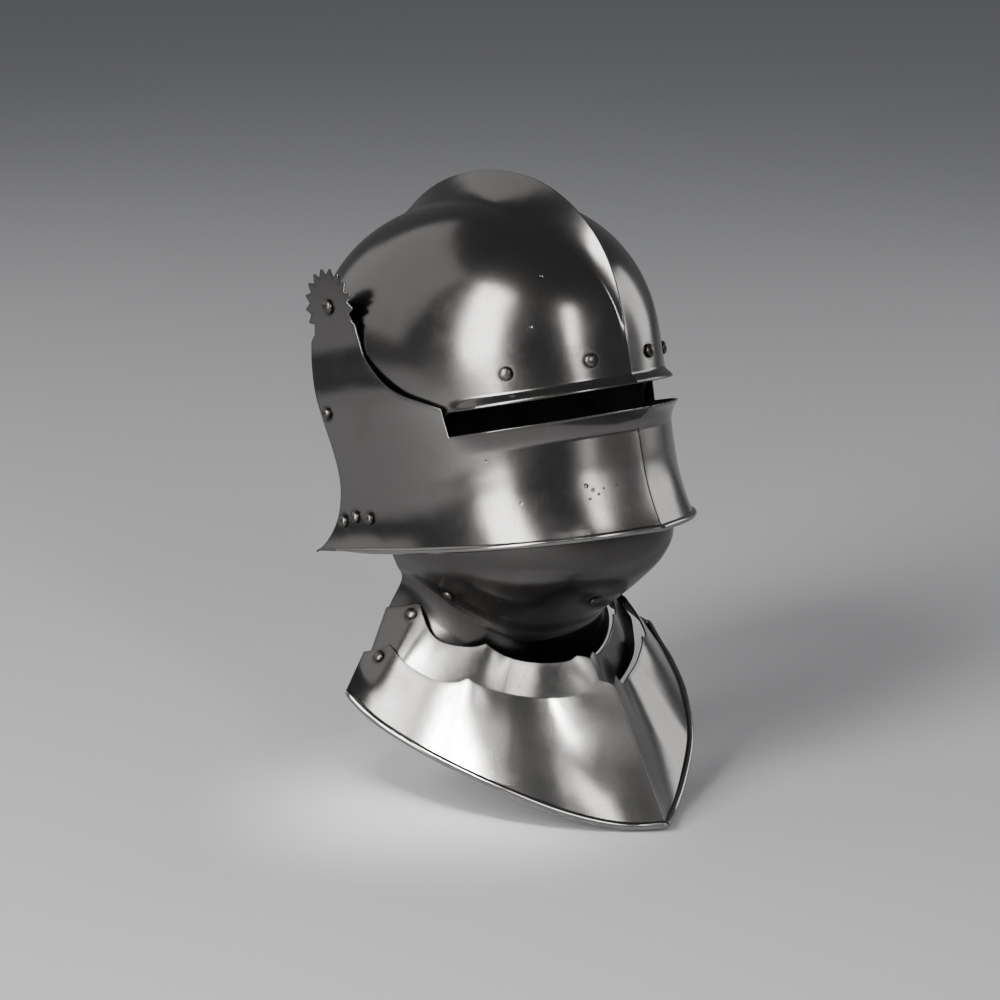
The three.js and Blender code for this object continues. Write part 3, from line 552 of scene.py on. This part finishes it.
def visor_outline():
    """The whole outline as flat places across and heights: hem, one side, sight lip and the other side."""
    side = visor_side_outline()
    right = np.stack([FLAT_SCALE * visor_turn(side[:, 0]), side[:, 1]], axis=1)
    corner = right[-1, 0] / FLAT_SCALE
    hem_turns = np.linspace(-corner, corner, 331)[1:-1]
    hem_y = visor_plan(hem_turns, VISOR_HEM)[1]
    hem = np.stack([FLAT_SCALE * hem_turns, visor_hem(hem_y) + HEM_ROLL], axis=1)
    sight = float(visor_turn(np.array(SIGHT_END)))
    lip_turns = np.linspace(sight, -sight, 181)
    lip = np.stack([FLAT_SCALE * lip_turns, np.full(len(lip_turns), LIP_LEVEL)], axis=1)
    left = right * [-1, 1]
    return np.concatenate([hem, right[::-1], lip, left])


# Pits of wear on the visor: place in metres, radius in millimetres, and depth
VISOR_PITS = [((-0.0703, -0.1503, -0.1743), 1.3, 0.2), ((-0.0806, -0.1271, -0.1488), 1.1, 0.2),
              ((-0.0376, -0.1769, -0.1631), 1.9, 0.2), ((-0.0342, -0.1799, -0.1657), 1.4, 0.2),
              ((-0.0313, -0.1826, -0.1683), 1.1, 0.15), ((-0.0371, -0.1804, -0.1712), 1.2, 0.15),
              ((-0.0275, -0.1832, -0.1648), 0.9, 0.15), ((-0.0192, -0.1866, -0.1635), 1.0, 0.15)]
VISOR_STEEL = polished_steel("visor_steel", STEEL_TONE, 0.19, VISOR_PITS)
VISOR_RIVETS = {"side_rivet": (39, -9.5), "corner_rivet_rear": (44.5, -83.5),
                "corner_rivet_middle": (31, -81.5), "corner_rivet_front": (15, -83.5)}


def flat_visor(across, height):
    """The visor over its flat outline, where FLAT_SCALE across stands for one radian round the face."""
    return visor_surface(across / FLAT_SCALE, height)


flat, visor_triangles = fill_outline(visor_outline(), VISOR_MESH)
visor_points = flat_visor(flat[:, 0], flat[:, 1])
visor_normals = outward_normals(flat_visor, flat[:, 0], flat[:, 1], 0.05)
visor_seats = [visor_surface(side * visor_turn(np.array(y)), z)
               for y, z in VISOR_RIVETS.values() for side in (-1, 1)]
pivot_seats = [from_level(side * DISC_FACE, PIVOT_Y, PIVOT_Z) for side in (-1, 1)]
visor = steel_plate("visor_plate", visor_points, visor_normals, [visor_triangles], VISOR_PLATE,
                    visor_seats + pivot_seats)
visor.data.materials.append(VISOR_STEEL)
visor.data.materials.append(INSIDE_STEEL)
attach(visor, "visor")
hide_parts("visor")

# Rolled hem of the visor: the plate's lower edge turned outward over a wire and hammered round. The roll
# thins out before each rear corner.
ROLL_BACK = 50
ROLL_THIN = 0.3
ROLL_THIN_TURN = 0.55


def rolled_edge(name, path, radius, steel, body):
    """A round bead along a path: circles square to the path, each of its own radius, closed at both ends."""
    tangent = np.gradient(path, axis=0)
    tangent /= np.linalg.norm(tangent, axis=1, keepdims=True)
    across = np.cross(tangent, [0.0, 0.0, 1.0])
    across /= np.linalg.norm(across, axis=1, keepdims=True)
    up = np.cross(across, tangent)
    angles = np.linspace(0, 2 * math.pi, 20, endpoint=False)
    ring = np.cos(angles)[:, None, None] * across + np.sin(angles)[:, None, None] * up
    points = (path + radius[:, None] * MM * ring).reshape(-1, 3)
    faces = grid_faces(len(angles), len(path), loop=True)[:, ::-1]
    caps = [list(range(0, len(points), len(path)))[::-1], list(range(len(path) - 1, len(points), len(path)))]
    mesh = bpy.data.meshes.new(name)
    mesh.from_pydata(points.tolist(), [], faces.tolist() + caps)
    mesh.polygons.foreach_set("use_smooth", np.ones(len(mesh.polygons), bool))
    for key in ("edge_mm", "rivet_mm"):
        values = np.full(len(points), 99, np.float32)
        mesh.attributes.new(key, "FLOAT", "POINT").data.foreach_set("value", values)
    piece = bpy.data.objects.new(name, mesh)
    bpy.context.scene.collection.objects.link(piece)
    piece.data.materials.append(steel)
    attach(piece, body)
    return piece


# The rolled edges take a lighter copy of the steel: partly rubbed bright by wear, partly a painted highlight
# where the rolls catch the light
EDGE_WEAR_AND_HIGHLIGHT_STEEL = polished_steel("edge_wear_and_highlight_steel", toned(STEEL_TONE, 1.6), 0.17)
hem_end = math.pi / 2 + ROLL_BACK / VISOR_BACK
hem_turns = np.linspace(-hem_end, hem_end, 520)
hem_y = visor_plan(hem_turns, VISOR_HEM)[1]
hem_path = visor_surface(hem_turns, visor_hem(hem_y) + HEM_ROLL)
hem_full = smooth(hem_end, hem_end - ROLL_THIN_TURN, np.abs(hem_turns))
hem_radius = HEM_ROLL * (ROLL_THIN + (1 - ROLL_THIN) * hem_full)
rolled_edge("visor_hem_roll", hem_path, hem_radius, EDGE_WEAR_AND_HIGHLIGHT_STEEL, "visor")

# Chin plate of the bevor: it covers the chin and throat under the visor. It is drawn in to the neck, and
# its lower part turns out again inside the lames. Its upper edge and wings are hidden by the sallet.
BEVOR_PLATE = 1.3
BEVOR_TOP = -35
BEVOR_HEIGHT = 242
CHEEK_SEAT_GAP = 0.6
CHIN_HALF = SKULL_HALF - CHEEK_TUCK - SKULL_PLATE - CHEEK_SEAT_GAP
CHIN_LEAD = 7
CHIN_REACH = VISOR_FRONT + CHIN_LEAD
CHIN_DROP_CURVE = 1.6

# Each row is a level: drop at the back and at the front as shares of the bevor's height, half width, back
# line and front line as shares of the chin's half width and reach, and squareness
CHIN_LEVELS = np.array([
    (0.1, 0, 1, 0, 0.933, 2.7),
    (0.194, 0.227, 0.959, -0.067, 1, 2.7),
    (0.26, 0.318, 0.949, -0.067, 0.954, 2.7),
    (0.302, 0.409, 0.918, -0.067, 0.8, 2.8),
    (0.351, 0.483, 0.855, -0.06, 0.66, 2.7),
    (0.393, 0.541, 0.803, -0.053, 0.56, 2.6),
    (0.459, 0.599, 0.845, -0.013, 0.54, 2.4),
    (0.517, 0.661, 0.925, 0, 0.53, 2.4),
])


def row_between(table, place):
    """The columns of a table at places between its rows, on a Catmull-Rom curve; the ends run on straight."""
    padded = np.concatenate([2 * table[:1] - table[1:2], table, 2 * table[-1:] - table[-2:-1]])
    row = np.clip(np.floor(place), 0, len(table) - 2).astype(int)
    t = (place - row)[..., None]
    a, b, c, d = (padded[row + k] for k in range(4))
    mixed = b + 0.5 * t * (c - a + t * (2 * a - 5 * b + 4 * c - d + t * (3 * (b - c) + d - a)))
    return np.moveaxis(mixed, -1, 0)


def upright_place(x, y, z):
    """A place on the bevor, which stands upright, taken from the seat of the head."""
    seat = from_level(0, 0, 0)
    return np.stack([x * MM, y * MM + seat[1], z * MM + seat[2]], axis=-1)


def chin_surface(turn, share):
    """The chin plate at an angle round the neck and a share of its height, 0 at its lower end.

    Each level is a superellipse, and it drops from the back to the front by a power of the cosine."""
    turn, share = np.broadcast_arrays(np.asarray(turn, float), np.asarray(share, float))
    back, front, width, heel, reach, square = row_between(CHIN_LEVELS, (len(CHIN_LEVELS) - 1) * (1 - share))
    ahead = np.maximum(np.cos(turn), 0)
    x = width * CHIN_HALF * signed_power(np.sin(turn), 2 / square)
    y = CHIN_REACH * (heel - (reach + heel) * ahead ** (2 / square))
    return upright_place(x, y, BEVOR_TOP - BEVOR_HEIGHT * blend_to(back, front, ahead**CHIN_DROP_CURVE))


def wrapped_plate(name, surface, columns, shares, node, body, steel, holes):
    """A plate wrapped round the neck, from its surface at each column and each share of its height."""
    column, share = np.meshgrid(columns, shares, indexing="ij")
    points = surface(column, share).reshape(-1, 3)
    normals = outward_normals(surface, column, share).reshape(-1, 3)
    piece = steel_plate(name, points, normals, [grid_faces(len(columns), len(shares))], BEVOR_PLATE, holes)
    piece.data.materials.append(steel)
    piece.data.materials.append(INSIDE_STEEL)
    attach(piece, body)
    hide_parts(node)
    return piece


# The chin plate takes a darker copy of the steel: painted shade for its place under the visor
BEVOR_SHADE_STEEL = polished_steel("bevor_shade_steel", toned(STEEL_TONE, 0.62), 0.22)
CHIN_RIVETS = {"right": (-1.117, 0.373), "left": (1.117, 0.373), "middle": (0, 0.558)}
chin_turns = np.linspace(-math.pi / 2, math.pi / 2, 241)
chin_holes = [chin_surface(turn, share) for turn, share in CHIN_RIVETS.values()]
wrapped_plate("bevor_chin", chin_surface, chin_turns, np.linspace(0, 1, 90), "bevor_chin_plate", "helmet",
              BEVOR_SHADE_STEEL, chin_holes)

# Lower gorget plate: it spreads over the collar and breast to a point, with a sharp medial ridge. It hangs
# on two rivets through the upper lame. Its upper edge is filed into scallops and its hem is rolled.
GORGET_HALF = 137
GORGET_REACH = 193
GORGET_ROLL = 2.6
ROLL_END = 0.02
ROLL_UP = 0.012
LOWER_RIVET = (0.95, 0.79)

# The plate is ruled between two rails that run from the ridge to the rear end, through points at these
# stops. A point's shares are of a half width, a reach forward and the bevor's height.
RAIL_STOPS = np.array([0, 0.12, 0.3, 0.5, 0.7, 0.85, 0.93, 1])
LOWER_TOP = np.array([(0, 0.917, 0.629), (0.146, 0.84, 0.63), (0.355, 0.7, 0.63), (0.594, 0.62, 0.626),
                      (0.829, 0.537, 0.617), (1.001, 0.367, 0.583), (1.084, 0.197, 0.548),
                      (1.074, 0.027, 0.558)])
LOWER_HEM = np.array([(0, 0.998, 0.994), (0.161, 0.907, 0.997), (0.383, 0.79, 0.959), (0.628, 0.641, 0.886),
                      (0.82, 0.46, 0.811), (0.927, 0.306, 0.752), (0.969, 0.207, 0.713), (1, 0.117, 0.664)])

# Scallops of the filed upper edge, each from point to point: place across, and share of the height cut
LOWER_SCALLOPS = [
    [(0, 0.05), (0.03, 0.018), (0.085, 0)],
    [(0.085, 0), (0.12, 0.062), (0.2, 0.122), (0.33, 0.147), (0.5, 0.122), (0.62, 0.062), (0.7, 0)],
    [(0.7, 0), (0.725, 0.07), (0.77, 0.13), (0.83, 0.15), (0.89, 0.11), (0.935, 0)],
    [(0.935, 0), (0.955, 0.09), (1, 0.22)],
]


def rail_point(rail, across, half, reach):
    """Point of a rail at a place across, on the curve through the rail's points."""
    stop = np.interp(np.abs(across), RAIL_STOPS, np.arange(len(RAIL_STOPS)))
    x, y, z = row_between(rail, stop)
    return upright_place(np.sign(across) * x * half, -y * reach, BEVOR_TOP - BEVOR_HEIGHT * z)


def filed_height(scallops, across):
    """How much of the height is left at a place across: 1 at the points, and less along the scallops."""
    edge = np.concatenate([curve_through(scallop, 12) for scallop in scallops])
    return 1 - np.interp(np.abs(across), edge[:, 0], edge[:, 1])


def lower_ruled(across, up):
    """The lower plate before its edge is filed: straight lines from the hem's rail to the upper rail."""
    across, up = np.broadcast_arrays(np.asarray(across, float), np.asarray(up, float))
    hem = rail_point(LOWER_HEM, across, GORGET_HALF, GORGET_REACH)
    return blend_to(hem, rail_point(LOWER_TOP, across, CHIN_HALF, CHIN_REACH), up[..., None])


def lower_surface(across, share):
    """The lower plate from its hem up to its scalloped edge."""
    return lower_ruled(across, share * filed_height(LOWER_SCALLOPS, across))


def lame_columns(count, points):
    """Places across a lame, from end to end, with closer ones by the ridge and on the scallops' points."""
    even = np.linspace(0, 1, count)
    beside = [(point - 0.004, point, point + 0.004) for point in points]
    half = np.unique(np.concatenate([even, (0.0015, 0.004), *beside]))
    return np.concatenate([-half[:0:-1], half])


GORGET_STEEL = polished_steel("gorget_steel", STEEL_TONE, 0.18)
lower_holes = [lower_ruled(side * LOWER_RIVET[0], LOWER_RIVET[1]) for side in (-1, 1)]
lower_columns = lame_columns(150, (0.085, 0.7, 0.935))
wrapped_plate("gorget_lower", lower_surface, lower_columns, np.linspace(0, 1, 64), "gorget_lower_plate",
              "gorget_lower", GORGET_STEEL, lower_holes)
hem_columns = np.concatenate([-np.linspace(0, 1, 220)[:0:-1], np.linspace(0, 1, 220)])
end_gap = (1 - np.abs(hem_columns)) / ROLL_END
gorget_radius = GORGET_ROLL * np.sqrt(1 - (1 - np.clip(end_gap, ROLL_END, 1)) ** 2)
rolled_edge("gorget_hem_roll", lower_ruled(hem_columns, ROLL_UP), gorget_radius, EDGE_WEAR_AND_HIGHLIGHT_STEEL, "gorget_lower")

# Upper gorget lame: a narrow plate at the throat, hinged on two rivets through the chin plate. It runs down
# behind the lower plate, and its upper edge is filed into scallops that meet in points.
UPPER_RIVET = (0.937, 0.835)
UPPER_TOP = np.array([(0, 0.757, 0.58), (0.099, 0.72, 0.58), (0.282, 0.633, 0.572), (0.448, 0.563, 0.562),
                      (0.605, 0.493, 0.541), (0.766, 0.327, 0.5), (0.819, 0.193, 0.45), (0.865, 0.02, 0.442)])

# Its lower end: how far down the lower plate, and how far in from it toward the neck
UPPER_END = np.array([(0.21, 0.905), (0.208, 0.908), (0.214, 0.908), (0.238, 0.892), (0.262, 0.886),
                      (0.34, 0.912), (0.397, 0.953), (0.5, 0.93)])
UPPER_SCALLOPS = [
    [(0, 0.09), (0.03, 0.035), (0.1, 0)],
    [(0.1, 0), (0.14, 0.095), (0.2, 0.155), (0.3, 0.2), (0.45, 0.175), (0.6, 0.085), (0.7, 0)],
    [(0.7, 0), (0.73, 0.11), (0.77, 0.19), (0.83, 0.25), (0.88, 0.2), (0.935, 0)],
    [(0.935, 0), (0.955, 0.075), (1, 0.18)],
]


def upper_ruled(across, up):
    """The upper lame before its edge is filed: straight lines from its lower end to its upper rail."""
    across, up = np.broadcast_arrays(np.asarray(across, float), np.asarray(up, float))
    down, inward = row_between(UPPER_END, np.interp(np.abs(across), RAIL_STOPS, np.arange(len(RAIL_STOPS))))
    seat = from_level(0, 0, 0)
    shrink = np.stack([inward, inward, np.ones(inward.shape)], axis=-1)
    end = (lower_ruled(across, 1 - down) - seat) * shrink + seat
    return blend_to(end, rail_point(UPPER_TOP, across, CHIN_HALF, CHIN_REACH), up[..., None])


def upper_surface(across, share):
    """The upper lame from its lower end up to its scalloped edge."""
    return upper_ruled(across, share * filed_height(UPPER_SCALLOPS, across))


upper_holes = [upper_ruled(side * UPPER_RIVET[0], UPPER_RIVET[1]) for side in (-1, 1)]
wrapped_plate("gorget_upper", upper_surface, lame_columns(150, (0.1, 0.7, 0.935)), np.linspace(0, 1, 34),
              "gorget_upper_lame", "gorget_upper", GORGET_STEEL, upper_holes)

# Rivets: round-headed steel rivets set by hand and peened over inside. The pivots carry the visor, those
# at the ends of the lames let them swing, and the rest held straps and lining.
RIVET_SEAT = 0.3
RIVET_TAIL = 1.2

# Each kind: radius of the head, rise of the head, radius of the shank
BROW_KIND = (4.7, 3.2, 2)
PIVOT_KIND = (5.2, 3.4, 3)
VISOR_KIND = (4.2, 3.2, 1.9)
LAME_KIND = (4.1, 2.6, 1.8)
CHIN_KIND = (3.6, 2.4, 1.5)


def rivet_steel(name):
    """Rivet heads: a darker steel with worn tops and file marks."""
    material = bpy.data.materials.new(name)
    material.use_nodes = True
    tree = material.node_tree
    shader = tree.nodes["Principled BSDF"]
    place = add_node(tree, "ShaderNodeTexCoord").outputs["Object"]
    marks = add_noise(tree, place, 700, 4, roughness=0.6)
    dull = add_noise(tree, place, 160, 3)
    colour = add_mix(tree, add_range(tree, dull, 0.35, 0.65), (0.15, 0.14, 0.13, 1), (0.07, 0.065, 0.06, 1))
    bump = add_node(tree, "ShaderNodeBump", {"Height": marks, "Strength": 0.6, "Distance": 0.15 * MM})
    tree.links.new(colour, shader.inputs["Base Color"])
    tree.links.new(add_range(tree, marks, 0.3, 0.7, 0.2, 0.42), shader.inputs["Roughness"])
    tree.links.new(bump.outputs[0], shader.inputs["Normal"])
    shader.inputs["Metallic"].default_value = 1
    return material


RIVET_STEEL = rivet_steel("rivet_steel")


def rivet(node, seat, normal, kind, grip, body):
    """A turned profile about the seat's normal: domed head, shank through the plates and peened end.

    The dome's radius falls as a power of the cosine and its height grows as the sine of the same angle. The
    outline is wavy by a small sine and cosine of the angle round it, so that no two heads are alike."""
    head, rise, shank = kind
    arc = np.linspace(0, math.pi / 2, 12)
    dome = np.stack([head * np.cos(arc) ** 0.9, RIVET_SEAT + rise * (0.22 + 0.78 * np.sin(arc))], axis=1)
    behind = -grip - RIVET_SEAT
    under = [(0.001, behind - RIVET_TAIL), (shank * 1.1, behind - RIVET_TAIL * 0.85),
             (shank * 1.5, behind - 0.2), (shank * 1.4, behind), (shank, behind), (shank, RIVET_SEAT),
             (head * 0.96, RIVET_SEAT), (head, RIVET_SEAT + 0.12 * rise)]
    radii, heights = np.concatenate([under, dome[:-1], [(0.001, dome[-1, 1])]]).T
    side = np.cross(normal, [0.31, 0.52, 0.79])
    side /= np.linalg.norm(side)
    other = np.cross(normal, side)
    angles = np.linspace(0, 2 * math.pi, 32, endpoint=False)[:, None]
    wobble = 1 + 0.02 * np.sin(3 * angles + seat[0] * 900) + 0.015 * np.cos(2 * angles + seat[2] * 700)
    sideways = (np.cos(angles) * wobble * radii)[..., None] * side
    other_way = (np.sin(angles) * wobble * radii)[..., None] * other
    points = (seat + MM * (sideways + other_way + heights[None, :, None] * normal)).reshape(-1, 3)
    rows = len(radii)
    caps = [list(range(0, len(points), rows))[::-1], list(range(rows - 1, len(points), rows))]
    mesh = bpy.data.meshes.new(node)
    mesh.from_pydata(points.tolist(), [], grid_faces(len(angles), rows, loop=True).tolist() + caps)
    mesh.polygons.foreach_set("use_smooth", np.ones(len(mesh.polygons), bool))
    piece = bpy.data.objects.new(f"{node}_head", mesh)
    bpy.context.scene.collection.objects.link(piece)
    piece.data.materials.append(RIVET_STEEL)
    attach(piece, body)
    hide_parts(node)


def seat_on(surface, across, along):
    """A rivet's seat and the direction square to the plate there."""
    across, along = np.array(float(across)), np.array(float(along))
    return surface(across, along), outward_normals(surface, across, along)


PIVOT_GRIP = 13
UPPER_GRIP = 7.2
LOWER_GRIP = 5.6
for side, hand in ((-1, "right"), (1, "left")):
    for turn, place in zip(BROW_RIVET_TURNS, ("inner", "outer")):
        seat, normal = seat_on(skull_surface, side * turn, BROW_RIVET_HEIGHT)
        rivet(f"brow_rivet_{place}_{hand}", seat, normal, BROW_KIND, SKULL_PLATE, "helmet")
    pivot = from_level(side * DISC_FACE, PIVOT_Y, PIVOT_Z)
    rivet(f"visor_pivot_rivet_{hand}", pivot, np.array([side, 0.0, 0.0]), PIVOT_KIND, PIVOT_GRIP, "helmet")
    for place, (y, z) in VISOR_RIVETS.items():
        seat, normal = seat_on(visor_surface, side * visor_turn(np.array(y)), z)
        rivet(f"visor_{place}_{hand}", seat, normal, VISOR_KIND, VISOR_PLATE, "visor")
    seat, normal = seat_on(upper_ruled, side * UPPER_RIVET[0], UPPER_RIVET[1])
    rivet(f"gorget_upper_rivet_{hand}", seat, normal, LAME_KIND, UPPER_GRIP, "helmet")
    seat, normal = seat_on(lower_ruled, side * LOWER_RIVET[0], LOWER_RIVET[1])
    rivet(f"gorget_lower_rivet_{hand}", seat, normal, LAME_KIND, LOWER_GRIP, "gorget_upper")
for place, (turn, share) in CHIN_RIVETS.items():
    seat, normal = seat_on(chin_surface, turn, share)
    rivet(f"bevor_chin_rivet_{place}", seat, normal, CHIN_KIND, BEVOR_PLATE, "helmet")

# Collars on the visor's pivots: short steel tubes that hold the discs clear of the skull's slope. Their own
# frame solids stay and take the rivets' steel.
for hand in ("right", "left"):
    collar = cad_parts[f"visor_pivot_collar_{hand}"]
    collar.data.materials.clear()
    collar.data.materials.append(RIVET_STEEL)

# Floor: a wide pale sheet under the lowest point of the gorget
FLOOR_WIDTH = 40
FLOOR_GAP = 0.002
reach = FLOOR_WIDTH / 2
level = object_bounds()[0][2] - FLOOR_GAP
mesh = bpy.data.meshes.new("floor")
corners = [(-reach, -reach, level), (reach, -reach, level), (reach, reach, level), (-reach, reach, level)]
mesh.from_pydata(corners, [], [(0, 1, 2, 3)])
floor = bpy.data.objects.new("floor", mesh)
bpy.context.scene.collection.objects.link(floor)
paper = bpy.data.materials.new("floor_paper")
paper.use_nodes = True
paper.node_tree.nodes["Principled BSDF"].inputs["Base Color"].default_value = (0.56, 0.56, 0.57, 1)
paper.node_tree.nodes["Principled BSDF"].inputs["Roughness"].default_value = 0.9
floor.data.materials.append(paper)

# Camera at the photograph's angle
VIEW_AZIMUTH = math.radians(-40)
VIEW_ELEVATION = math.radians(13.7)
VIEW_DISTANCE = 2.2
VIEW_LENS = 114.8
VIEW_SENSOR = 36
VIEW_TARGET = Vector((0, -0.04527, -0.20289))
toward = Vector((-math.sin(VIEW_AZIMUTH) * math.cos(VIEW_ELEVATION),
                 math.cos(VIEW_AZIMUTH) * math.cos(VIEW_ELEVATION), -math.sin(VIEW_ELEVATION)))
lens = bpy.data.cameras.new("camera")
lens.lens = VIEW_LENS
lens.sensor_width = VIEW_SENSOR
camera = bpy.data.objects.new("camera", lens)
camera.location = VIEW_TARGET - VIEW_DISTANCE * toward
camera.rotation_euler = toward.to_track_quat("-Z", "Y").to_euler()
bpy.context.scene.collection.objects.link(camera)
bpy.context.scene.camera = camera


# Studio light: a tall soft box to the left, a narrow one near the camera, a weak broad one behind, a weaker
# one to the right, and two small ones with honeycomb grids, aimed at the gorget. The room itself is dim.
def soft_box(name, direction, distance, size, power, aim=VIEW_TARGET, spread=180):
    """A rectangular soft light that looks at its aim from a direction given as azimuth and elevation."""
    azimuth, elevation = (math.radians(angle) for angle in direction)
    away = Vector((math.sin(azimuth) * math.cos(elevation), -math.cos(azimuth) * math.cos(elevation),
                   math.sin(elevation)))
    light = bpy.data.lights.new(name, "AREA")
    light.shape = "RECTANGLE"
    light.size, light.size_y = size
    light.energy = power
    light.spread = math.radians(spread)
    lamp = bpy.data.objects.new(name, light)
    lamp.location = aim + distance * away
    lamp.rotation_euler = (-away).to_track_quat("-Z", "Y").to_euler()
    bpy.context.scene.collection.objects.link(lamp)


GORGET_AIM = Vector((-0.105, -0.11, -0.36))
soft_box("key_box", (-80, 24), 2.6, (0.85, 2.1), 115)
soft_box("front_box", (-17, 26), 2.6, (0.32, 1.1), 17)
soft_box("rear_box", (-150, 30), 2.6, (3.0, 2.4), 17)
soft_box("far_box", (85, 14), 2.6, (0.8, 1.2), 9)
soft_box("gorget_box_left", (-50, 46), 0.9, (0.18, 0.08), 0.08, GORGET_AIM, 14)
soft_box("gorget_box_right", (-36, 46), 0.9, (0.18, 0.08), 0.08, GORGET_AIM, 12)
world = bpy.data.worlds.new("studio")
bpy.context.scene.world = world
world.use_nodes = True
world.node_tree.nodes["Background"].inputs["Color"].default_value = (0.55, 0.56, 0.58, 1)
world.node_tree.nodes["Background"].inputs["Strength"].default_value = 0.25
